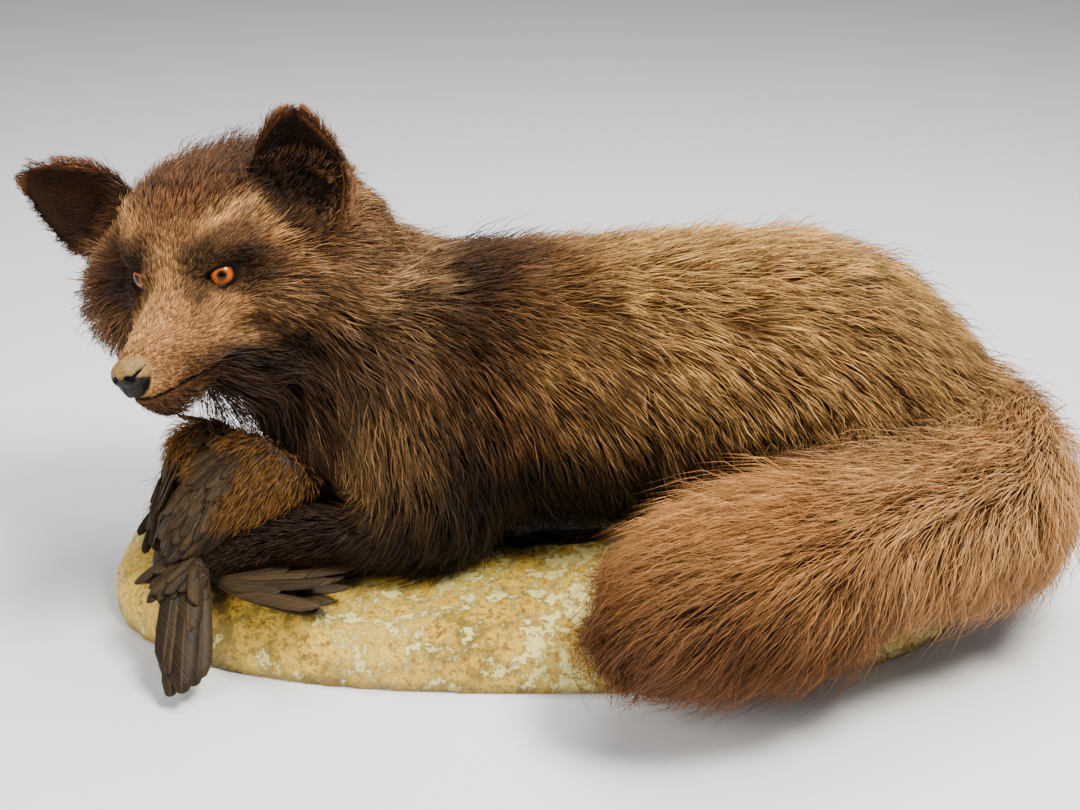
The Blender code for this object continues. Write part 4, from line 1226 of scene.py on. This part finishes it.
wax = wax * (1 - 0.97 * nostril[:, None])
mark(nose.data, "wax", wax)
t, surface, leather = finish_named("nose_wax", 0.52, Specular_IOR_Level=0.3)
where = t.node("TexCoord", out=3)
pebble = t.node("TexVoronoi", {"feature": "F1"}, {"Vector": where, "Scale": 1100.0})
grained = pebble.ramp((0.0, (1.15, 1.15, 1.15)), (0.6, (0.6, 0.6, 0.6)))
wire(t.node("Attribute", {"attribute_name": "wax"}).times(grained), surface)
bump(surface, 1 - pebble, 0.0004, 0.8)
dress(nose, leather)
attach(nose, "root")
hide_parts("nose")


# ------------------------------------------------------------------ whiskers
# Black whiskers set in the upper lip in two rows on each side: single stiff hairs that
# taper to nothing and bow back.
t, surface, whisker_hair = finish_named("whisker_hair", 0.35)
wire(t.node("TexCoord", out=3).noise(90.0).ramp((0.3, paint(14, 9, 6)), (0.7, paint(30, 20, 14))), surface)


def horn(name, path, radii, corners):
    """A closed, tapered, bending horn or hair along a few places."""
    path = np.asarray(path, float)
    way = unit(np.gradient(path, axis=0))
    side = unit(np.cross(way, [0.31, 0.17, 0.93]))
    over = np.cross(side, way)
    turns = np.linspace(0, 2 * math.pi, corners, endpoint=False)
    rings = [centre + radius * (np.cos(turns)[:, None] * s + np.sin(turns)[:, None] * o)
             for centre, radius, s, o in zip(path[:-1], radii, side[:-1], over[:-1])]
    points = np.concatenate([*rings, path[-1:]])
    faces = [tuple(range(corners))[::-1]]
    for r in range(len(rings) - 1):
        for k in range(corners):
            n = (k + 1) % corners
            faces.append((r * corners + k, r * corners + n, (r + 1) * corners + n, (r + 1) * corners + k))
    last = (len(rings) - 1) * corners
    faces += [(last + k, last + (k + 1) % corners, len(points) - 1) for k in range(corners)]
    mesh = bpy.data.meshes.new(name)
    mesh.from_pydata(points.tolist(), [], faces)
    return in_scene(name, mesh)


def joined(pieces, name, material):
    """Several meshes made one piece that rides with the mount."""
    whole = join(pieces, name)
    bpy.ops.object.mode_set(mode="EDIT")
    bpy.ops.mesh.select_all(action="SELECT")
    bpy.ops.mesh.normals_make_consistent(inside=False)
    bpy.ops.object.mode_set(mode="OBJECT")
    dress(whole, material)
    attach(whole, "root")
    return whole


draw = np.random.default_rng(71)
skin_now = BVHTree.FromObject(skin, bpy.context.evaluated_depsgraph_get())
sites = [(0.046 - 0.010 * column, -0.027 - 0.0050 * row) for row in range(2) for column in range(4)]
for side, sign in SIDES:
    hairs = []
    for forward, drop in sites:
        from_side = brow + out_of_head([forward, 0.05 * sign, drop])
        ground = skin_now.ray_cast(Vector(from_side), Vector(-aside * sign), 0.06)[0]
        if ground is None:
            continue
        reach = draw.uniform(0.026, 0.040)
        out = out_of_head([-0.45 - draw.uniform(0, 0.4), 0.95 * sign, -0.25 + draw.normal(0, 0.12)])
        bend = out_of_head([-1.0, 0, -0.35])
        line = [np.array(ground) + unit(out) * reach * share + bend * reach * 0.35 * share ** 2
                for share in (-0.04, 0.25, 0.5, 0.75, 1.0)]
        hairs.append(horn("whisker", line, (0.00016, 0.00014, 0.00011, 0.00008), 4))
    joined(hairs, "whiskers_" + side, whisker_hair)


# ------------------------------------------------------------------ claws
# Dark horn claws, one at the end of each toe, worn blunt and curved down to the base.
t, surface, claw_horn = finish_named("claw_horn", 0.32)
streak = t.node("TexCoord", out=3).noise(420.0, 4.0)
wire(streak.ramp((0.3, paint(28, 20, 15)), (0.7, paint(92, 74, 54))), surface)
bump(surface, streak, 0.0002, 0.6)
CLAW_BEND = ((0, 0, 0), (-0.004, 0, 0.0008), (-0.0075, 0, 0), (-0.0102, 0, -0.0022), (-0.0122, 0, -0.0052))
claws = []
for paw in ("forepaw_left", "forepaw_right", "hindpaw_left", "hindpaw_right"):
    mesh = points_of(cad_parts[paw].data)
    low, high = mesh.min(0), mesh.max(0)
    for toe in range(4):
        across = low[1] + (high[1] - low[1]) * (0.17 + 0.22 * toe)
        near_toe = mesh[np.abs(mesh[:, 1] - across) < 0.0045]
        front = near_toe[np.argmin(near_toe[:, 0])]
        start = np.array([front[0] + 0.004, across, max(front[2], base_high.z + 0.006)])
        line = start + np.array(CLAW_BEND)
        line[:, 2] = np.maximum(line[:, 2], base_high.z + 0.0011)
        claws.append(horn("claw", line, (0.0015, 0.0015, 0.0012, 0.0008), 8))
joined(claws, "claws", claw_horn)


# ------------------------------------------------------------------ prey bird
# The bird under the fox's paws is a skin over a small body, its feathers laid on row by
# row: dark brown barred wings and tail, and a loose buff down on the back and flank.
t, surface, plumes = finish_named("barred_feather", 0.6, Specular_IOR_Level=0.25)
vane = t.node("Attribute", {"attribute_name": "vane"})
tint = t.node("Attribute", {"attribute_name": "plume"})
across, along, own = [t.node("SeparateXYZ", None, {"Vector": vane}, out=k) for k in range(3)]
barbs = t.node("TexNoise", {"noise_dimensions": "2D"},
               {"Vector": t.node("CombineXYZ", None, {0: across * 3.0 + along * 26.0, 1: own * 9.0}),
                "Scale": 2.2, "Detail": 3.0})
streaked = barbs.ramp((0.32, (0.5, 0.47, 0.44)), (0.68, (1.35, 1.3, 1.22)))
quill = t.maths("ABSOLUTE", across).step(0.10, 0.04)
wire(t.colour(84, 62, 38).over(tint.times(streaked), quill * 0.4), surface)
bump(surface, barbs, 0.0005, 0.7)

# Places along a feather, how wide its vane is at each, and places across the vane.
ALONG = (0.0, 0.12, 0.30, 0.52, 0.76, 0.92, 1.0)
VANE = (0.14, 0.58, 0.90, 1.0, 1.0, 0.86, 0.46)
ACROSS = (-1.0, -0.5, 0.0, 0.5, 1.0)
HALF_THICK = 0.0003


def feather(root, way, up, length, width, droop, tint, seed):
    """One feather: two webs that slope from a raised shaft, bent down towards the tip."""
    way, up = unit(way), np.asarray(up, float)
    side = unit(np.cross(way, up))
    up = np.cross(side, way)
    top, low, marks = [], [], []
    for share, full in zip(ALONG, VANE):
        middle = root + way * length * share - up * droop * length * share ** 2
        for place in ACROSS:
            slope = -0.13 * place ** 2 * width * full
            spot = middle + side * place * width * full / 2 + up * slope - way * place ** 2 * width * 0.16
            top.append(spot + up * HALF_THICK)
            low.append(spot - up * HALF_THICK)
            marks.append((place, share, seed))
    rows, across = len(ALONG), len(ACROSS)
    count = rows * across
    faces = []
    for r in range(rows - 1):
        for k in range(across - 1):
            a = r * across + k
            quad = (a, a + 1, a + 1 + across, a + across)
            faces.append(quad)
            faces.append(tuple(count + v for v in quad[::-1]))
    border = list(range(across)) + [r * across + across - 1 for r in range(1, rows)]
    border += [(rows - 1) * across + k for k in range(across - 2, -1, -1)]
    border += [r * across for r in range(rows - 2, 0, -1)]
    for a, b in zip(border, border[1:] + border[:1]):
        faces.append((b, a, count + a, count + b))
    points = np.array(top + low)
    points[:, 2] = np.maximum(points[:, 2], on_base(points) - 0.0009)
    points[count:, 2] = np.minimum(points[count:, 2], points[:count, 2] - 0.0004)
    return list(points), faces, marks + marks, tint


def plumage(name, feathers):
    """A row of feathers as one piece."""
    points, faces, marks, tints = [], [], [], []
    for own_points, own_faces, own_marks, own_tint in feathers:
        faces += [tuple(v + len(points) for v in face) for face in own_faces]
        points += own_points
        marks += own_marks
        tints += [own_tint] * len(own_points)
    mesh = bpy.data.meshes.new(name)
    mesh.from_pydata(np.array(points).tolist(), [], faces)
    mark(mesh, "vane", marks, "FLOAT_VECTOR", "vector")
    mark(mesh, "plume", tints)
    return joined([in_scene(name, mesh)], name, plumes)


DARK_PLUME = np.array(paint(38, 29, 15))
GREY_PLUME = np.array(paint(64, 50, 30))
draw = np.random.default_rng(83)
bird_low, bird_high = (np.array(corner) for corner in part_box("prey_bird"))
bird_size = bird_high - bird_low

under_bird = clay_copy("prey_bird", "bird_body", -0.0016)
recast(under_bird, 0.0016, 8)
TAIL_END = 0.40              # below this share of its height the bird is only tail and wing
tail_end = bird_low[2] + TAIL_END * bird_size[2]
bm = bmesh.new()
bm.from_mesh(under_bird.data)
bmesh.ops.bisect_plane(bm, geom=[*bm.verts, *bm.edges, *bm.faces], plane_co=(0, 0, tail_end),
                       plane_no=(0, 0, -1), clear_outer=True)
bmesh.ops.holes_fill(bm, edges=[edge for edge in bm.edges if edge.is_boundary], sides=0)
bm.to_mesh(under_bird.data)
bm.free()
recast(under_bird, 0.0018, 4)
bird_points = points_of(under_bird.data)
bird_out = points_of(under_bird.data, "normal")
t, surface, down_skin = finish_named("matted_down", 0.8)
matted = t.node("TexCoord", out=3).noise(190.0, 6.0, 0.7)
wire(matted.ramp((0.35, paint(22, 14, 8)), (0.65, paint(70, 48, 28))), surface)
bump(surface, matted, 0.0010)
dress(under_bird, down_skin)
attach(under_bird, "root")
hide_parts("prey_bird")


def lie_of_plumes(place):
    """Which way the feathers lie at a place on the bird, and whether they are downy there."""
    share = (place - bird_low) / bird_size
    if share[2] < TAIL_END:
        return np.array([0.05, -0.80, -0.45] if share[0] < 0.42 else [0.95, -0.10, -0.05]), 0.0
    on_far_wing = share[0] < 0.22 and share[1] > 0.42
    way = np.array([-0.25, -0.45, -0.85] if on_far_wing else [-0.45, -0.50, -0.62])
    right = ease(share[0] + 0.10 * ripple(place[None], 0.022, 12)[0], 0.40, 0.52)
    left = ease(0.36 - share[0], 0.0, 0.06) * ease(share[2], 0.80, 0.88)
    return way, float(np.maximum(right, left))


COVERT_SPACING = 0.0056
coverts = []
down_roots, down_ways, down_outs, down_buff = [], [], [], []
cells = set()
for row in draw.permutation(len(bird_points)):
    place, out = bird_points[row], bird_out[row]
    if out[2] < -0.35:
        continue
    way, downy = lie_of_plumes(place)
    way = unit(way - out * (way @ out))
    if draw.random() < 0.16 + 0.8 * downy and place[2] > tail_end:
        down_roots.append(place)
        down_ways.append(unit(way + draw.normal(0, 0.22, 3)))
        down_outs.append(out)
        down_buff.append(downy)
    cell = tuple(np.round(place / COVERT_SPACING).astype(int))
    if cell in cells or downy > 0.6 or place[2] < base_high.z + 0.010:
        continue
    cells.add(cell)
    tint = (GREY_PLUME * draw.random() + DARK_PLUME * 1.2) * draw.uniform(0.35, 0.75)
    size = draw.uniform(0.015, 0.025)
    way = unit(way + draw.normal(0, 0.10, 3))
    way = unit(way - out * (way @ out))
    coverts.append(feather(place + out * 0.0004, way + out * draw.uniform(0.02, 0.16), out, size,
                           size * draw.uniform(0.30, 0.42), 0.16, tint, draw.random()))
plumage("bird_coverts", coverts)

# Long feathers, fanned from the root of the tail, of each wing and of the rump.
FANS = {
    # name: root as shares of the bird, middle direction, up, spread, feathers, length, width, droop
    "tail": ((0.27, 0.46, 0.47), (0.05, -0.90, -0.40), (0, -0.4, 0.92), 0.10, 9, 0.086, 0.0140, 0.22),
    "rump": ((0.24, 0.44, 0.44), (-0.62, -0.70, -0.28), (-0.3, -0.3, 0.9), 0.42, 7, 0.034, 0.0085, 0.20),
    "near_wing": ((0.42, 0.35, 0.34), (0.97, -0.04, -0.02), (0.0, 0.05, 1.0), 0.48, 12, 0.078, 0.0130, 0.01),
    "far_wing": ((0.20, 0.78, 0.82), (-0.24, -0.42, -0.86), (-0.9, 0.1, 0.25), 0.30, 8, 0.058, 0.0095, 0.05),
}
for name, (root, way, up, spread_angle, count, length, width, droop) in FANS.items():
    way, up = unit(np.array(way)), unit(np.array(up, float))
    side = np.cross(way, up)
    fan = []
    for k in range(count * 2):
        share = (k % count) / (count - 1) * 2 - 1
        short = 0.62 if k >= count else 1.0
        angle = spread_angle * share + draw.normal(0, 0.03 if name == "tail" else 0.10)
        out_way = unit(way * math.cos(angle) + side * math.sin(angle) + up * abs(draw.normal(0, 0.08)))
        size = length * short * (1 - 0.16 * abs(share)) * draw.uniform(0.90 if name == "tail" else 0.70, 1.04)
        tint = (GREY_PLUME * draw.uniform(0.2, 0.9) + DARK_PLUME) * draw.uniform(0.45, 0.75)
        layer = 0.0007 * (k % 3) + (0.0016 if k >= count else 0)
        start = bird_low + bird_size * np.array(root) + side * share * width * 0.30 + up * layer
        fan.append(feather(start, out_way, up, size, width * draw.uniform(0.85, 1.1), droop, tint,
                           draw.random()))
    plumage("bird_" + name, fan)

# Down: fine loose barbs, buff over the breast and thigh, dark between the feathers.
down_roots, down_ways = np.array(down_roots), np.array(down_ways)
down_outs, down_buff = np.array(down_outs), np.array(down_buff)
count = len(down_roots)
reach = draw.uniform(0.010, 0.018, count)
stand = draw.uniform(0.15, 0.75, count)
line = np.stack([down_roots + down_ways * (reach * share)[:, None]
                 + down_outs * (reach * stand * share * (1.3 - share))[:, None] for share in STOPS], 1)
mine = nearest_leader(down_roots, draw.choice(count, count // DOWN_CLUMP, replace=False))
gather = (STOPS ** 1.3 * 0.35)[None, :, None]
line = kept_up(line * (1 - gather) + line[mine] * gather)
tone = draw.uniform(0.36, 0.56, count)[:, None]
buff = down_buff[:, None]
root_tint = (np.array(paint(78, 48, 18)) * buff + np.array(paint(22, 14, 8)) * (1 - buff)) * tone
tip_tint = (np.array(paint(184, 130, 62)) * buff + np.array(paint(74, 52, 32)) * (1 - buff)) * tone
mesh = tuft_mesh("bird_down", line, down_outs, np.full(count, 0.00025), root_tint, tip_tint,
                 on_pattern(down_roots), np.full(count, 0.8))
piece = in_scene("bird_down", mesh)
mesh.materials.append(body_hair)
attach(piece, "root")


# ------------------------------------------------------------------ loose feathers
# Flight feathers pulled from the bird, lying flat on the plaster behind the forelegs.
loose_low, loose_high = (np.array(corner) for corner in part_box("prey_feathers"))
loose = []
LOOSE = 9                    # how many there are
for k in range(LOOSE):
    share = k / (LOOSE - 1)
    root = np.array([loose_low[0] + 0.004 + 0.05 * share * (loose_high[0] - loose_low[0]) / 0.08,
                     loose_low[1] + (loose_high[1] - loose_low[1]) * draw.uniform(0.35, 0.7),
                     base_high.z + 0.0022])
    way = np.array([1.0, draw.normal(-0.05, 0.10), 0.0])
    tint = DARK_PLUME * draw.uniform(0.45, 0.8)
    size = min(draw.uniform(0.034, 0.046), loose_high[0] - root[0] + 0.004)
    loose.append(feather(root + [0, 0, 0.0006 * (k % 4)], way, [0, 0.05, 1], size, 0.0085, 0.0, tint,
                         draw.random()))
whole = plumage("loose_feathers", loose)
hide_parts("prey_feathers")


# ------------------------------------------------------------------ studio
# A plain pale floor and soft light; the camera looks down on the fox's left side.
bpy.ops.object.select_all(action="DESELECT")
bpy.ops.mesh.primitive_plane_add(size=8.0)
floor = bpy.context.active_object
floor.name = "floor"
t, surface, paper = finish_named("pale_floor", 0.9)
surface.inputs["Base Color"].default_value = (0.74, 0.75, 0.78, 1)
floor.data.materials.append(paper)


def softbox(name, place, aim, size, power, colour):
    light = bpy.data.lights.new(name, "AREA")
    light.shape = "RECTANGLE"
    light.size, light.size_y = size
    light.energy = power
    light.color = colour
    lamp = in_scene(name, light)
    lamp.visible_glossy = name != "fill_light"
    lamp.location = place
    lamp.rotation_euler = (Vector(aim) - Vector(place)).to_track_quat("-Z", "Y").to_euler()


softbox("key_light", (0.50, -0.40, 1.25), (0, 0, 0.1), (0.45, 0.45), 41, (1.0, 0.93, 0.81))
softbox("top_light", (0.1, 0.35, 1.5), (0, 0, 0.1), (1.1, 0.7), 24, (0.98, 0.98, 1.0))
softbox("fill_light", (-1.1, -1.1, 0.9), (-0.15, 0, 0.12), (0.7, 0.7), 27, (1.0, 0.94, 0.86))
world = bpy.data.worlds.new("soft_room")
world.use_nodes = True
world.node_tree.nodes["Background"].inputs["Color"].default_value = (0.80, 0.84, 0.92, 1)
world.node_tree.nodes["Background"].inputs["Strength"].default_value = 0.34
bpy.context.scene.world = world

DISTANCE = 0.93
DOWN = math.radians(24)      # how far the camera looks down
AIM = Vector((0, 0, 0.1133))
lens = bpy.data.cameras.new("camera")
lens.sensor_width = 36
lens.lens = 54
camera = in_scene("camera", lens)
camera.location = AIM + Vector((0, -math.cos(DOWN), math.sin(DOWN))) * DISTANCE
camera.rotation_euler = (math.radians(90) - DOWN, 0, 0)
bpy.context.scene.camera = camera
